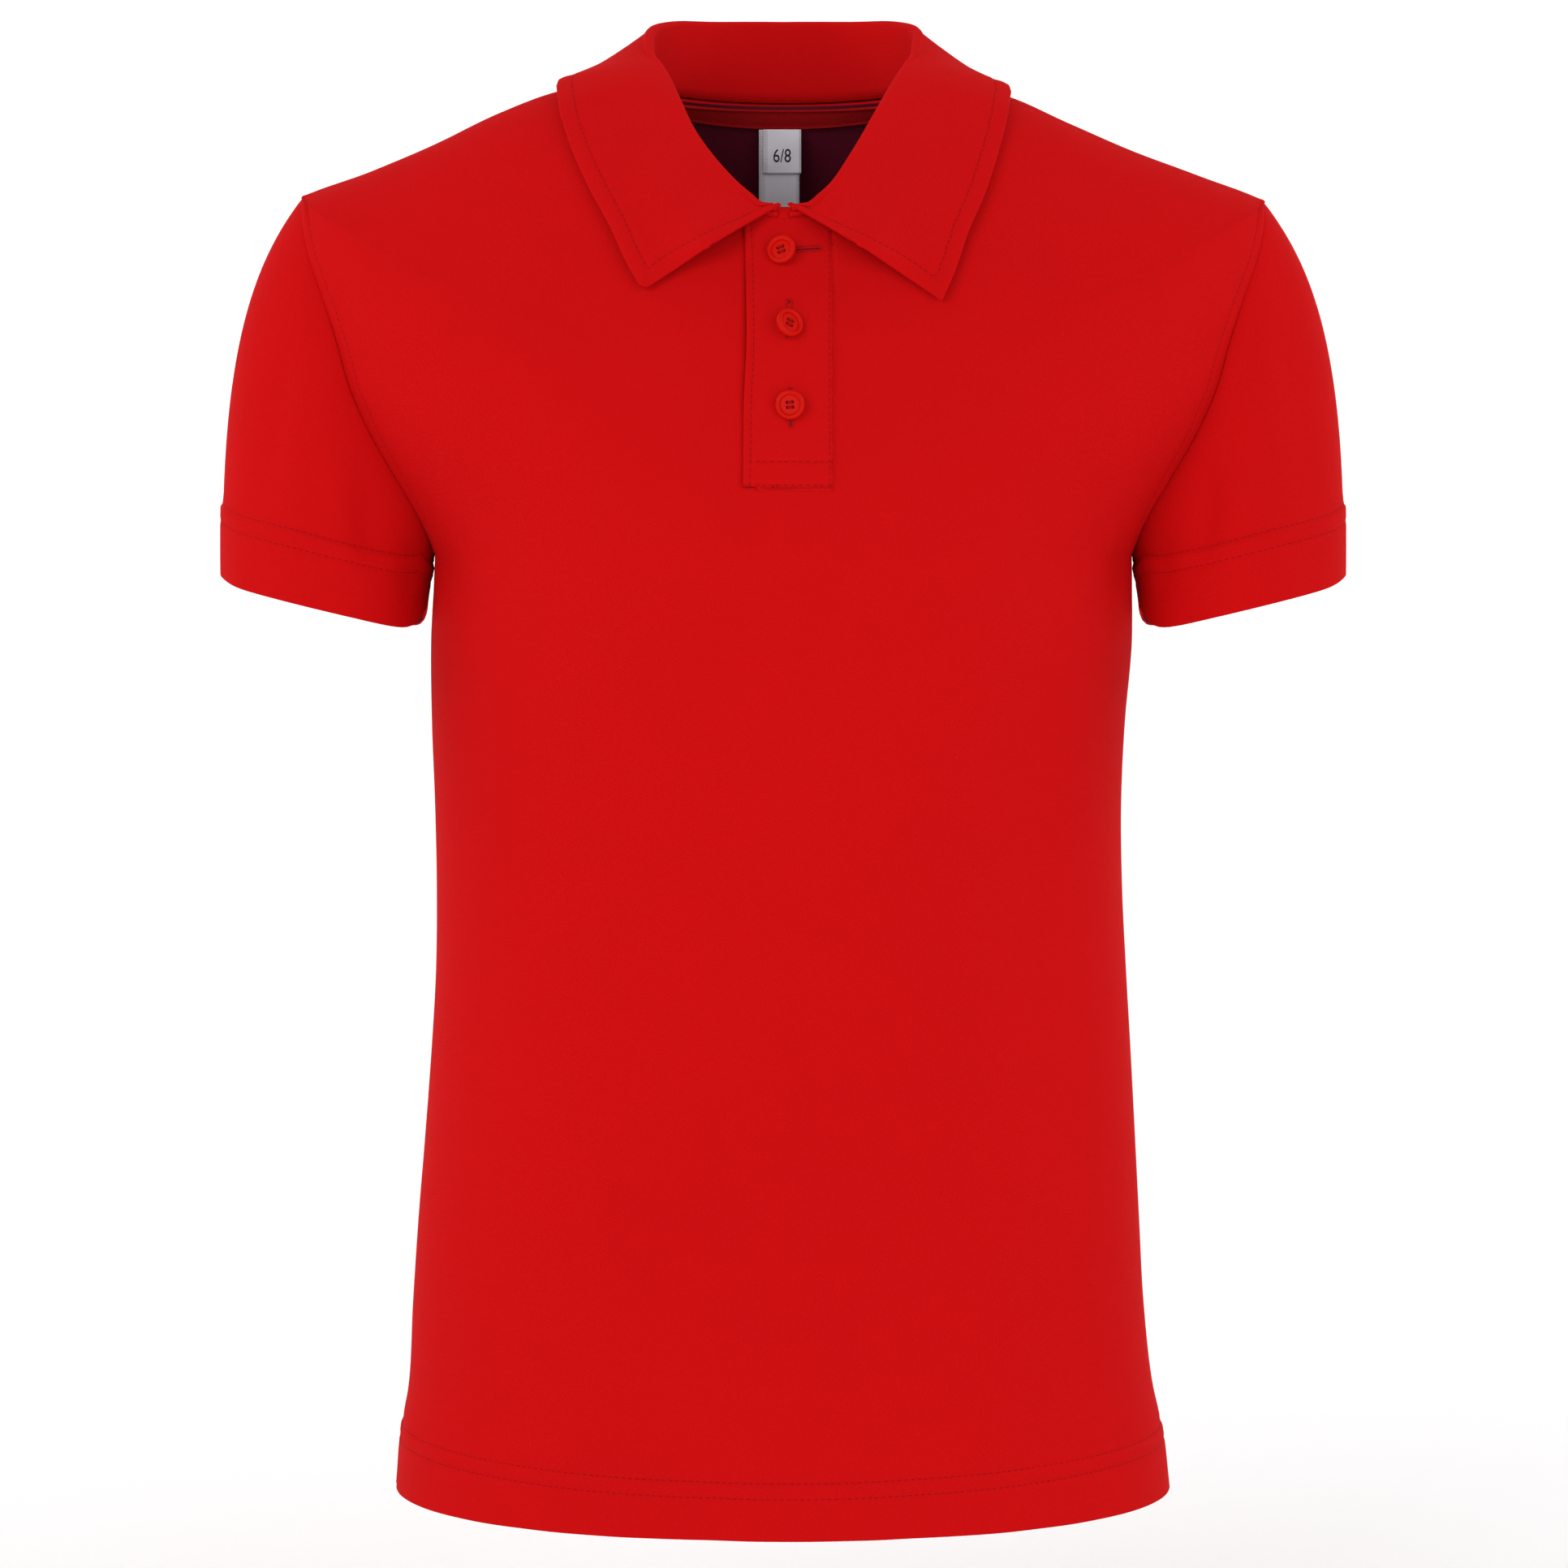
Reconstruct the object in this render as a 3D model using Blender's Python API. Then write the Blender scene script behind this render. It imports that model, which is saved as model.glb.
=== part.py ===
"""A child's short-sleeved polo shirt, filled out as if it were worn.

+Z is up and the front faces -Y. The origin lies between the shoulders, where the neck meets them.
Sizes are in millimetres and become metres where a mesh is made. "Left" and "right" are a viewer's,
who stands in front of the shirt. A height is given as a drop below the origin.
"""

import math
from collections import namedtuple

import bmesh
import bpy
import numpy as np

MM = 0.001

# ---------------------------------------------------------------- driving sizes
CLOTH = 1.3  # wall of one layer of knit
HEM_WALL = 2.3  # a hem is two layers
COLLAR_WALL = 1.6
PLACKET_WALL = 1.5
TRIM_WALL = 1.0  # tape and labels
SEAM_GAP = 0.3
HEM_STEP = 0.5  # how far the body hem stands proud
CUFF_STEP = 1.0
CUFF_BAND = 26.5
STEP_RISE = 1.2  # length over which a hem steps out

BODY_LENGTH = 519.0
NECK_HALF_WIDTH = 57.0
UNDERARM_DROP = 172.0
SHOULDER_REACH = 176.0
ARMHOLE_FRONT = 34.0
ARMHOLE_BACK = 33.0
NECK_SEAM_FORWARD = 14.0
TIP_SEAM_FORWARD = 3.0

PLACKET_LEFT = -13.7
PLACKET_RIGHT = 17.0
PLACKET_OVERLAP = 1.4
PLACKET_TUCK = 3.0  # the under side stops this short of the top side's seam
PLACKET_START = 3.0  # below the neck seam
PLACKET_END = 148.0

TAPE_START = 1.0  # below the neck seam
TAPE_WIDTH = 8.0

BUTTON_RADIUS = 5.2
BUTTON_THICKNESS = 2.4
BUTTON_SIDES = 20
BUTTON_HOLE_RADIUS = 0.62
BUTTON_HOLE_SPREAD = 1.25
BUTTON_THREAD = 0.45  # a button's lowest point stands this far off the placket

# ---------------------------------------------------------------- tables of the form
# Half widths of the body at the side seams.
Side = namedtuple("Side", "drop left right")
SIDES = [
    Side(172, 128.4, 128.4),
    Side(190, 129.4, 129.2),
    Side(225, 129.6, 126.4),
    Side(272, 128.2, 124.6),
    Side(320, 128.1, 126.5),
    Side(368, 131.0, 129.3),
    Side(416, 135.0, 131.8),
    Side(464, 138.2, 135.1),
    Side(478, 139.0, 137.0),
    Side(492, 141.4, 140.0),
    Side(519, 143.6, 143.0),
]

# Depth of the middle of the front and of the back.
Depth = namedtuple("Depth", "drop depth")
FRONT_DEPTHS = [
    Depth(50, 55.5),
    Depth(65, 64.5),
    Depth(80, 72.5),
    Depth(100, 80.5),
    Depth(125, 88.0),
    Depth(150, 93.5),
    Depth(172, 96.5),
    Depth(200, 98.0),
    Depth(250, 96.5),
    Depth(300, 94.0),
    Depth(350, 93.0),
    Depth(400, 93.5),
    Depth(450, 94.5),
    Depth(495, 96.0),
    Depth(519, 97.0),
]
BACK_DEPTHS = [
    Depth(1, 58.0),
    Depth(12, 66.0),
    Depth(30, 76.0),
    Depth(50, 84.0),
    Depth(75, 91.0),
    Depth(105, 95.5),
    Depth(140, 96.5),
    Depth(172, 94.5),
    Depth(210, 90.0),
    Depth(260, 84.5),
    Depth(310, 82.0),
    Depth(360, 84.0),
    Depth(410, 88.0),
    Depth(460, 91.5),
    Depth(519, 94.5),
]

# Ridge of each shoulder: how far out, and how far down on each side.
Ridge = namedtuple("Ridge", "reach left_drop right_drop")
SHOULDER = [
    Ridge(57, -1.0, -0.2),
    Ridge(72, 0.0, 1.2),
    Ridge(84, 2.0, 4.0),
    Ridge(97, 6.6, 9.8),
    Ridge(115, 14.7, 18.0),
    Ridge(133, 23.5, 25.4),
    Ridge(151, 30.9, 32.0),
    Ridge(167, 36.7, 37.9),
    Ridge(176, 40.5, 42.0),
]

# The armhole seam, seen from the front.
Armhole = namedtuple("Armhole", "drop reach")
ARMHOLE = [
    Armhole(39, 176.0),
    Armhole(57, 174.0),
    Armhole(72, 169.0),
    Armhole(91, 162.5),
    Armhole(112, 156.5),
    Armhole(126, 150.5),
    Armhole(140, 143.0),
    Armhole(152, 136.0),
    Armhole(163, 130.8),
    Armhole(173, 128.4),
]

# Bands of rings from the neck to the hem. The two drops are those of the ring that ends the band,
# at the middle of the front and of the back.
Band = namedtuple("Band", "place rings front_drop back_drop end")
BANDS = [
    Band("shoulder", 5, 98.0, 46.0, 1.0),
    Band("armhole", 8, PLACKET_END, 138.0, 0.70),
    Band("armhole", 4, UNDERARM_DROP, UNDERARM_DROP, 1.0),
    Band("side", 10, 478.0, 478.0, 1.0),
    Band("side", 1, 498.6, 497.0, 1.0),
]
NECK_FRONT_DROP = 51.5
NECK_BACK_DROP = 1.2
HEM_SIDE_LIFT = 6.0  # the hem's stitched line rises this much at the sides
HEM_EDGE_LIFT = 2.2  # and its edge this much
MIDDLE_BOW = 0.4  # the cloth below the placket stands out this much from a straight line

# Soft folds of the body: a line from start to end, seen from the front, and its depth and half width.
# A negative depth is a trough.
Fold = namedtuple("Fold", "panel start_x start_drop end_x end_drop depth width")
FOLD_START = 0.1  # a fold that ends above the hem starts with a little of its depth
FOLDS = [
    Fold("front", -26, 320, -34, 519, -2.2, 20),
    Fold("front", 38, 350, 52, 519, -1.6, 22),
    Fold("front", -84, 300, -96, 500, 1.6, 24),
    Fold("front", -122, 182, -66, 214, -1.8, 13),
    Fold("front", 121, 184, 74, 224, -1.5, 14),
    Fold("front", 86, 250, 92, 420, -1.4, 20),
    Fold("front", -62, 100, -48, 150, -1.3, 16),
    Fold("back", 8, 60, -6, 230, -1.8, 20),
    Fold("back", -118, 186, -52, 262, -2.6, 15),
    Fold("back", 117, 190, 60, 250, -2.2, 16),
    Fold("back", -60, 300, -40, 500, 2.2, 22),
    Fold("back", 24, 330, 44, 519, -2.4, 20),
    Fold("back", 92, 350, 84, 510, 1.6, 22),
]

# Sections of the collar from the middle of the back round to the front end. `neck` is the share of the
# half neckline, `roll` is the inner edge of its fold and `edge` is the free edge of its fall.
Section = namedtuple(
    "Section", "neck roll_left roll_right roll_y roll_z edge_left edge_right edge_y edge_z"
)
COLLAR = [
    Section(0.00, 0.0, 0.0, 55.5, 29.0, 0.0, 0.0, 71.0, -12.0),
    Section(0.14, 26.5, 26.5, 50.5, 28.6, 34.0, 34.0, 64.0, -11.5),
    Section(0.225, 40.5, 41.0, 38.0, 27.2, 59.0, 59.5, 49.0, -9.0),
    Section(0.28, 46.8, 47.3, 24.0, 23.5, 74.0, 75.0, 27.0, -5.5),
    Section(0.345, 47.0, 46.8, 10.0, 15.5, 80.0, 80.6, 8.0, -2.5),
    Section(0.467, 44.4, 44.2, -1.0, 6.5, 81.2, 81.8, -7.0, -4.5),
    Section(0.56, 41.0, 40.3, -13.0, -2.0, 80.2, 81.0, -19.0, -13.0),
    Section(0.647, 37.0, 35.2, -25.0, -11.5, 75.6, 77.0, -33.0, -27.0),
    Section(0.727, 32.4, 29.9, -35.0, -21.0, 69.0, 72.0, -45.0, -41.5),
    Section(0.806, 25.4, 24.0, -44.0, -30.5, 62.0, 66.0, -54.0, -54.5),
    Section(0.895, 15.8, 16.6, -52.0, -40.5, 56.2, 61.4, -61.0, -67.0),
    Section(1.00, 3.0, 3.8, -59.0, -49.0, 49.6, 56.0, -68.0, -78.6),
]
FALL_BOW = 1.6  # how far the middle of the fall stands out
EDGE_REST = 2.6  # gap between the fall's free edge and the body
COLLAR_REST = 1.5  # least gap between the fall and the body
COLLAR_REST_EASE = 8.0
RIM_SMOOTHING = 14.0  # length of the neck seam over which the body's direction is averaged
COLLAR_END = 1.5  # the collar stops this short of the placket's middle
COLLAR_FOOT = 0.6  # and its stand this short of the neck seam
TANGENT_STEP = 0.02  # share of the half neckline
COLLAR_REACH = 9.0  # points past the neck edge by more than this stay where they are
FACES_FRONT = 0.4  # a surface faces the front where its normal points forward by more than this
RIGHT_POINT_DROP = 3.6  # the right point hangs this much lower
ROLL_BACK = 1.5  # radius of the fold, at the back and at the front end
ROLL_FRONT = 1.3

# The sleeve's cuff, and how the cloth leaves the armhole and reaches the cuff at its four quarters.
CUFF_MIDDLE = 169.3
CUFF_HALF_WIDTH = 37.0
CUFF_HALF_DEPTH = 40.5
CUFF_DROP = 191.2
CUFF_SLOPE = 0.25
CUFF_LIFT = 9.5  # at the underarm, where the cuff meets the body
CUFF_LIFT_POWER = 14  # the higher, the shorter the stretch that is lifted
Quarter = namedtuple("Quarter", "leave arrive into_body")
TOP = Quarter((17.0, 0.0, -22.0), (-1.0, 0.0, -85.0), (-0.93, 0.0, 0.37))
FRONT = Quarter((12.0, -7.0, -26.0), (2.0, -0.5, -30.0), (-0.75, 0.60, -0.20))
UNDER = Quarter((1.6, 0.0, -7.0), (0.6, 0.0, -8.0), (0.0, 0.0, -1.0))
BACK = Quarter((12.0, 7.0, -26.0), (2.0, 0.5, -30.0), (-0.75, -0.60, -0.20))

# Labels inside the back: their front faces' top edges, and how far each leans back over its length.
Label = namedtuple("Label", "name left right y drop length lean")
LABELS = [
    Label("label_main", -9.2, 6.2, 59.0, 10.6, 46.0, 5.0),
    Label("label_size", -7.7, 6.8, 57.6, 10.6, 16.5, 1.2),
]

# Buttons: place on the placket, and how far each tips to the viewer's right and upwards.
Button = namedtuple("Button", "x drop tip_right tip_up")
BUTTONS = [
    Button(-0.3, 65.2, -16.0, -11.0),
    Button(1.7, 91.0, 32.0, -2.0),
    Button(2.6, 118.7, -6.0, -13.0),
]

# ---------------------------------------------------------------- resolution
SIDE_COLUMNS = 11
PLACKET_COLUMNS = 2
CURVE_POINTS = 61
SLEEVE_ROWS = 9
BAND_ROWS = 3
COLLAR_SECTIONS = 19
STAND_ROWS = 3
ROLL_ROWS = 5
FALL_ROWS = 5

SIDE_SIGNS = {"left": -1.0, "right": 1.0}


# ---------------------------------------------------------------- curves
def smooth(places, values):
    """Curve through the given values, whose slope at each comes from its neighbours."""
    places = np.array(places, float)
    values = np.array(values, float)
    slopes = np.gradient(values, places)

    def curve(place):
        place = np.clip(place, places[0], places[-1])
        i = np.clip(np.searchsorted(places, place) - 1, 0, len(places) - 2)
        width = places[i + 1] - places[i]
        t = (place - places[i]) / width
        rise = values[i] + (values[i + 1] - values[i]) * t * t * (3 - 2 * t)
        return rise + width * t * (1 - t) * (slopes[i] * (1 - t) - slopes[i + 1] * t)

    return curve


def column(table, key, name):
    """Curve of one named column of a table over another."""
    return smooth([getattr(row, key) for row in table], [getattr(row, name) for row in table])


def lengths(points):
    steps = np.linalg.norm(np.diff(points, axis=0), axis=1)
    return np.concatenate([[0.0], np.cumsum(steps)])


def at_lengths(points, wanted):
    along = lengths(points)
    return np.stack([np.interp(wanted, along, points[:, axis]) for axis in range(3)], axis=1)


def unit(vectors):
    return vectors / np.maximum(np.linalg.norm(vectors, axis=-1, keepdims=True), 1e-9)


front_depth = column(FRONT_DEPTHS, "drop", "depth")
back_depth = column(BACK_DEPTHS, "drop", "depth")
armhole_reach = column(ARMHOLE, "drop", "reach")
side_reach = {side: column(SIDES, "drop", side) for side in SIDE_SIGNS}
ridge_drop = {side: column(SHOULDER, "reach", side + "_drop") for side in SIDE_SIGNS}


# ---------------------------------------------------------------- body rings
def armhole_point(side, angle):
    """Point of the armhole seam. The angle is 0 at the shoulder, 90 in front and 180 under the arm."""
    turn = math.radians(angle)
    tip_drop = ridge_drop[side](SHOULDER_REACH)
    middle = (tip_drop + UNDERARM_DROP) / 2
    drop = middle - (UNDERARM_DROP - tip_drop) / 2 * math.cos(turn)
    depth = ARMHOLE_FRONT if angle <= 180 else ARMHOLE_BACK
    y = -depth * math.sin(turn) - TIP_SEAM_FORWARD * max(math.cos(turn), 0.0) ** 2
    return np.array([armhole_reach(drop), y, -drop])


def quarter(reach, depth, centre_z, side_z, fullness):
    """From the middle of a panel to the outermost point of its ring, on the right, facing -Y."""
    turn = np.linspace(0, math.pi / 2, CURVE_POINTS)
    power = 2 / fullness
    across = np.sin(turn) ** power
    x = reach * across
    y = -depth * np.cos(turn) ** power
    z = centre_z + (side_z - centre_z) * across**2
    return np.stack([x, y, z], axis=1)


def quarter_through(end, depth, centre_z, fullness):
    """The quarter ring that passes through a point of the armhole."""
    turn = math.acos(max(-end[1] / depth, 0.0) ** (fullness / 2))
    across = math.sin(turn) ** (2 / fullness)
    side_z = centre_z + (end[2] - centre_z) / across**2
    return quarter(end[0] / across, depth, centre_z, side_z, fullness)


def flipped(points):
    return points * np.array([1.0, -1.0, 1.0])


def ring_halves(side, place, share, front_drop, back_drop):
    """(front, back): the two stretches of one ring on one side, each from its middle to the seam."""
    front, back = front_depth(front_drop), back_depth(back_drop)
    if place == "armhole":
        fullness = 2.0 + 0.2 * share
        front_end = armhole_point(side, 180 * share)
        back_end = flipped(armhole_point(side, 360 - 180 * share))
        front_line = quarter_through(front_end, front, -front_drop, fullness)
        back_line = quarter_through(back_end, back, -back_drop, fullness)
        return up_to(front_line, front_end[1]), flipped(up_to(back_line, back_end[1]))
    if place == "shoulder":
        reach = NECK_HALF_WIDTH + (SHOULDER_REACH - NECK_HALF_WIDTH) * share
        side_z = -ridge_drop[side](reach)
        fullness = 2.0
        seam_y = -(NECK_SEAM_FORWARD + (TIP_SEAM_FORWARD - NECK_SEAM_FORWARD) * share)
    else:
        reach = side_reach[side](share)
        side_z = -share
        fullness = 2.2
        seam_y = 0.0
    front_line = quarter(reach, front, -front_drop, side_z, fullness)
    back_line = flipped(quarter(reach, back, -back_drop, side_z, fullness))
    if seam_y < 0:
        over_ridge = front_line[::-1]
        over_ridge = over_ridge[over_ridge[:, 1] > seam_y][1:]
        front_line = up_to(front_line, seam_y)
        back_line = np.concatenate([back_line, over_ridge, front_line[-1:]])
    return front_line, back_line


def up_to(points, seam_y):
    """The stretch of a front line that ends where it reaches the seam's depth."""
    end = np.interp(seam_y, points[:, 1], lengths(points))
    keep = lengths(points) < end - 1e-6
    return np.concatenate([points[keep], at_lengths(points, [end])])


def ring_list():
    """Every ring from neck to hem, as (place, share, front drop, back drop)."""
    rings = [("shoulder", 0.0, NECK_FRONT_DROP, NECK_BACK_DROP)]
    front_drop, back_drop, share, place = NECK_FRONT_DROP, NECK_BACK_DROP, 0.0, "shoulder"
    for band in BANDS:
        if band.place != place:
            share, place = 0.0, band.place
        if place == "side":
            share = front_drop if share == 0.0 else share
            end = band.front_drop - (HEM_SIDE_LIFT if band is BANDS[-1] else 0.0)
        else:
            end = band.end
        for step in range(1, band.rings + 1):
            part = step / band.rings
            rings.append(
                (
                    place,
                    share + (end - share) * part,
                    front_drop + (band.front_drop - front_drop) * part,
                    back_drop + (band.back_drop - back_drop) * part,
                )
            )
        share, front_drop, back_drop = end, band.front_drop, band.back_drop
    return rings


RINGS = ring_list()
FIRST_ARMHOLE_RING = BANDS[0].rings
UNDERARM_RING = FIRST_ARMHOLE_RING + BANDS[1].rings + BANDS[2].rings
PLACKET_RING = FIRST_ARMHOLE_RING + BANDS[1].rings
HEM_RINGS = [("side", RINGS[-1][1] + STEP_RISE, RINGS[-1][2] + STEP_RISE, RINGS[-1][3] + STEP_RISE)]
HEM_RINGS.append(("side", BODY_LENGTH - HEM_EDGE_LIFT, BODY_LENGTH, BODY_LENGTH))
ALL_RINGS = RINGS + HEM_RINGS


def fold_offset(panel, points):
    """How far the soft folds move each point of a panel outwards."""
    offset = np.zeros(points.shape[:-1])
    x, drop = points[..., 0], -points[..., 2]
    for fold in FOLDS:
        if fold.panel != panel:
            continue
        run = np.array([fold.end_x - fold.start_x, fold.end_drop - fold.start_drop], float)
        along = ((x - fold.start_x) * run[0] + (drop - fold.start_drop) * run[1]) / run.dot(run)
        t = np.clip(along, 0, 1)
        away = np.hypot(x - fold.start_x - t * run[0], drop - fold.start_drop - t * run[1])
        if fold.end_drop < BODY_LENGTH:
            fade = np.sin(math.pi * (FOLD_START + (1 - FOLD_START) * t))
        else:
            fade = np.sqrt(t)
        offset += fold.depth * fade * np.exp(-((away / fold.width) ** 2))
    return offset


def body_panel(panel):
    """Grid of a panel's outer points: a row for each ring, columns from the left seam to the right one."""
    part = 0 if panel == "front" else 1
    left_start, right_start = (-notch_left(), notch_right()) if panel == "front" else (0.0, 0.0)
    rows = []
    for place, share, front_drop, back_drop in ALL_RINGS:
        row = []
        for side, start in (("left", left_start), ("right", right_start)):
            line = ring_halves(side, place, share, front_drop, back_drop)[part]
            along = lengths(line)
            first = np.interp(start, line[:, 0], along) if start > 0 else 0.0
            last = along[-1] - SEAM_GAP / 2
            points = at_lengths(line, np.linspace(first, last, SIDE_COLUMNS + 1))
            row.append(points * np.array([SIDE_SIGNS[side], 1.0, 1.0]))
        left, right = row[0][::-1], row[1]
        if panel == "front":
            shares = np.linspace(0, 1, PLACKET_COLUMNS + 1)[1:-1, None]
            middle = left[-1] + (right[0] - left[-1]) * shares
            middle[:, 1] -= MIDDLE_BOW
            rows.append(np.concatenate([left, middle, right]))
        else:
            rows.append(np.concatenate([left, right[1:]]))
    grid = np.array(rows)
    outward = panel_normals(panel, grid)
    step = np.zeros(len(grid))
    step[-2:] = HEM_STEP
    return grid + outward * (fold_offset(panel, grid) + step[:, None])[..., None]


def panel_normals(panel, grid):
    return grid_normals(grid) * (1.0 if panel == "front" else -1.0)


def notch_left():
    return PLACKET_LEFT + PLACKET_OVERLAP


def notch_right():
    return PLACKET_RIGHT + SEAM_GAP


# ---------------------------------------------------------------- grids and walls
def grid_normals(grid, wrap=False):
    """Unit normals of a grid of points whose rows run downwards and whose columns run to the right.

    They point to the viewer who stands in front.
    """
    down = np.gradient(grid, axis=0)
    if wrap:
        across = np.roll(grid, -1, axis=1) - np.roll(grid, 1, axis=1)
    else:
        across = np.gradient(grid, axis=1)
    return unit(np.cross(down, across))


def add_wall(name, outer, inner, finish, wrap=False, missing=()):
    """Closed wall between two grids of points; `missing` holds the (row, column) cells left out."""
    rows, columns = outer.shape[:2]
    mesh = bmesh.new()
    sheets = [
        [[mesh.verts.new(point * MM) for point in line] for line in sheet]
        for sheet in (outer, inner)
    ]
    edges = {}
    for row in range(rows - 1):
        for col in range(columns if wrap else columns - 1):
            if (row, col) in missing:
                continue
            after = (col + 1) % columns
            corners = [(row, col), (row + 1, col), (row + 1, after), (row, after)]
            for sheet in sheets:
                mesh.faces.new([sheet[i][j] for i, j in corners])
            for start, end in zip(corners, corners[1:] + corners[:1]):
                key = frozenset((start, end))
                edges[key] = None if key in edges else (start, end)
    for edge in edges.values():
        if edge is None:
            continue
        (i, j), (k, m) = edge
        mesh.faces.new([sheets[0][i][j], sheets[0][k][m], sheets[1][k][m], sheets[1][i][j]])
    loose = [vert for vert in mesh.verts if not vert.link_faces]
    bmesh.ops.delete(mesh, geom=loose, context="VERTS")
    return finish_mesh(name, mesh, finish)


def finish_mesh(name, mesh, finish):
    bmesh.ops.recalc_face_normals(mesh, faces=mesh.faces)
    data = bpy.data.meshes.new(name)
    mesh.to_mesh(data)
    mesh.free()
    data.shade_smooth()
    data.set_sharp_from_angle(angle=math.radians(45))
    data.materials.append(finish)
    obj = bpy.data.objects.new(name, data)
    bpy.context.collection.objects.link(obj)
    return obj


def add_finish(name, colour, roughness):
    finish = bpy.data.materials.new(name)
    finish.use_nodes = True
    shader = finish.node_tree.nodes["Principled BSDF"]
    shader.inputs["Base Color"].default_value = (*colour, 1.0)
    shader.inputs["Roughness"].default_value = roughness
    shader.inputs["Metallic"].default_value = 0.0
    return finish


# ---------------------------------------------------------------- sleeves
def blend_quarters(name, angle):
    """One named direction of the sleeve at an angle round the armhole."""
    turn = math.radians(angle)
    parts = [
        (TOP, max(math.cos(turn), 0.0)),
        (FRONT, max(math.sin(turn), 0.0)),
        (UNDER, max(-math.cos(turn), 0.0)),
        (BACK, max(-math.sin(turn), 0.0)),
    ]
    return sum(np.array(getattr(part, name)) * share**2 for part, share in parts)


def cuff_point(angle):
    turn = math.radians(angle)
    x = CUFF_MIDDLE + CUFF_HALF_WIDTH * math.cos(turn)
    y = -CUFF_HALF_DEPTH * math.sin(turn)
    lift = CUFF_LIFT * max(-math.cos(turn), 0.0) ** CUFF_LIFT_POWER
    return np.array([x, y, -CUFF_DROP + CUFF_SLOPE * (x - CUFF_MIDDLE) + lift])


def armhole_angles():
    """Angles of the armhole's points, once round: those of the front's rings, then the back's."""
    shares = [ring[1] for ring in RINGS[FIRST_ARMHOLE_RING + 1 : UNDERARM_RING + 1]]
    down_front = [0.0] + [180 * share for share in shares]
    return down_front + [360 - 180 * share for share in reversed(shares[:-1])]


def sleeve_grid(side):
    """Rows of points from the armhole to the cuff's edge, and the row where the cuff's band starts."""
    lines = []
    for angle in armhole_angles():
        start = armhole_point(side, angle)
        leave = blend_quarters("leave", angle)
        start = start + SEAM_GAP * unit(unit(leave) - blend_quarters("into_body", angle))
        end = cuff_point(angle)
        near, far = start + leave, end - blend_quarters("arrive", angle)
        t = np.linspace(0, 1, CURVE_POINTS)[:, None]
        curve = (1 - t) ** 3 * start + 3 * (1 - t) ** 2 * t * near + 3 * (1 - t) * t * t * far + t**3 * end
        total = lengths(curve)[-1]
        band = total - min(CUFF_BAND, 0.8 * total)
        places = np.concatenate(
            [
                np.linspace(0, band, SLEEVE_ROWS),
                [band + STEP_RISE],
                np.linspace(band + STEP_RISE, total, BAND_ROWS + 1)[1:],
            ]
        )
        lines.append(at_lengths(curve, places) * np.array([SIDE_SIGNS[side], 1.0, 1.0]))
    return np.array(lines).transpose(1, 0, 2)


def sleeve_normals(side, grid):
    """Normals that point out of the sleeve's tube."""
    return -grid_normals(grid, wrap=True) * SIDE_SIGNS[side]


def share_seam_normals(side, panels, sleeve):
    """Gives the panels and the sleeve one mitre along the armhole, where they don't fold back."""
    edge = 0 if side == "left" else -1
    count = UNDERARM_RING - FIRST_ARMHOLE_RING
    for position in range(2 * count):
        panel = "front" if position <= count else "back"
        row = FIRST_ARMHOLE_RING + (position if position <= count else 2 * count - position)
        own, other = panels[panel][row, edge].copy(), sleeve[0, position].copy()
        if own.dot(other) > 0.3:
            shared = unit(own + other)
            panels[panel][row, edge] = shared
            sleeve[0, position] = shared
            if position == 0:
                panels["back"][row, edge] = shared


# ---------------------------------------------------------------- collar
def neckline(side):
    """The neck seam on one side, from the middle of the back to the placket."""
    front, back = ring_halves(side, *RINGS[0])
    line = np.concatenate([back, front[::-1][1:]])
    return line * np.array([SIDE_SIGNS[side], 1.0, 1.0])


def collar_table(side, name):
    return column(COLLAR, "neck", name if name[-1] in "yz" else name + side)


def collar_line(side, share, body):
    """The collar's section at a share of the half neckline: stand, roll and fall, at half its wall."""
    sign = SIDE_SIGNS[side]
    seam = neckline(side)
    total = lengths(seam)[-1]

    def section(part):
        neck = at_lengths(seam, [part * (total - COLLAR_END)])[0]
        roll = np.array([sign * collar_table(side, "roll_")(part), *collar_yz("roll", side, part)])
        edge = np.array([sign * collar_table(side, "edge_")(part), *collar_yz("edge", side, part)])
        return neck, roll, edge

    neck, roll, edge = section(share)
    edge = lift_clear(edge[None], *body, np.array([COLLAR_WALL / 2 + EDGE_REST]), True)[0]
    ahead = section(min(share + TANGENT_STEP, 1.0))[1]
    behind = section(max(share - TANGENT_STEP, 0.0))[1]
    tangent = unit(ahead - behind)
    upward = unit(roll - neck - tangent * tangent.dot(roll - neck))
    outward = rim_normal(neck, *body)
    outward = unit(outward - tangent * tangent.dot(outward) - upward * upward.dot(outward))
    radius = ROLL_BACK + (ROLL_FRONT - ROLL_BACK) * share
    centre = roll - upward * radius + outward * (radius + COLLAR_WALL / 2)
    foot = neck + unit(roll - neck) * COLLAR_FOOT
    turns = np.linspace(math.pi, 0, ROLL_ROWS + 1)[:, None]
    arc = centre + radius * (outward * np.cos(turns) + upward * np.sin(turns))
    stand = np.linspace(foot, arc[0], STAND_ROWS + 1)[:-1]
    t = np.linspace(0, 1, FALL_ROWS + 1)[1:, None]
    bow = 4 * t * (1 - t) * outward * FALL_BOW
    fall = arc[-1] + (edge - arc[-1]) * t + bow
    return np.concatenate([stand, arc, fall])


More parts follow.
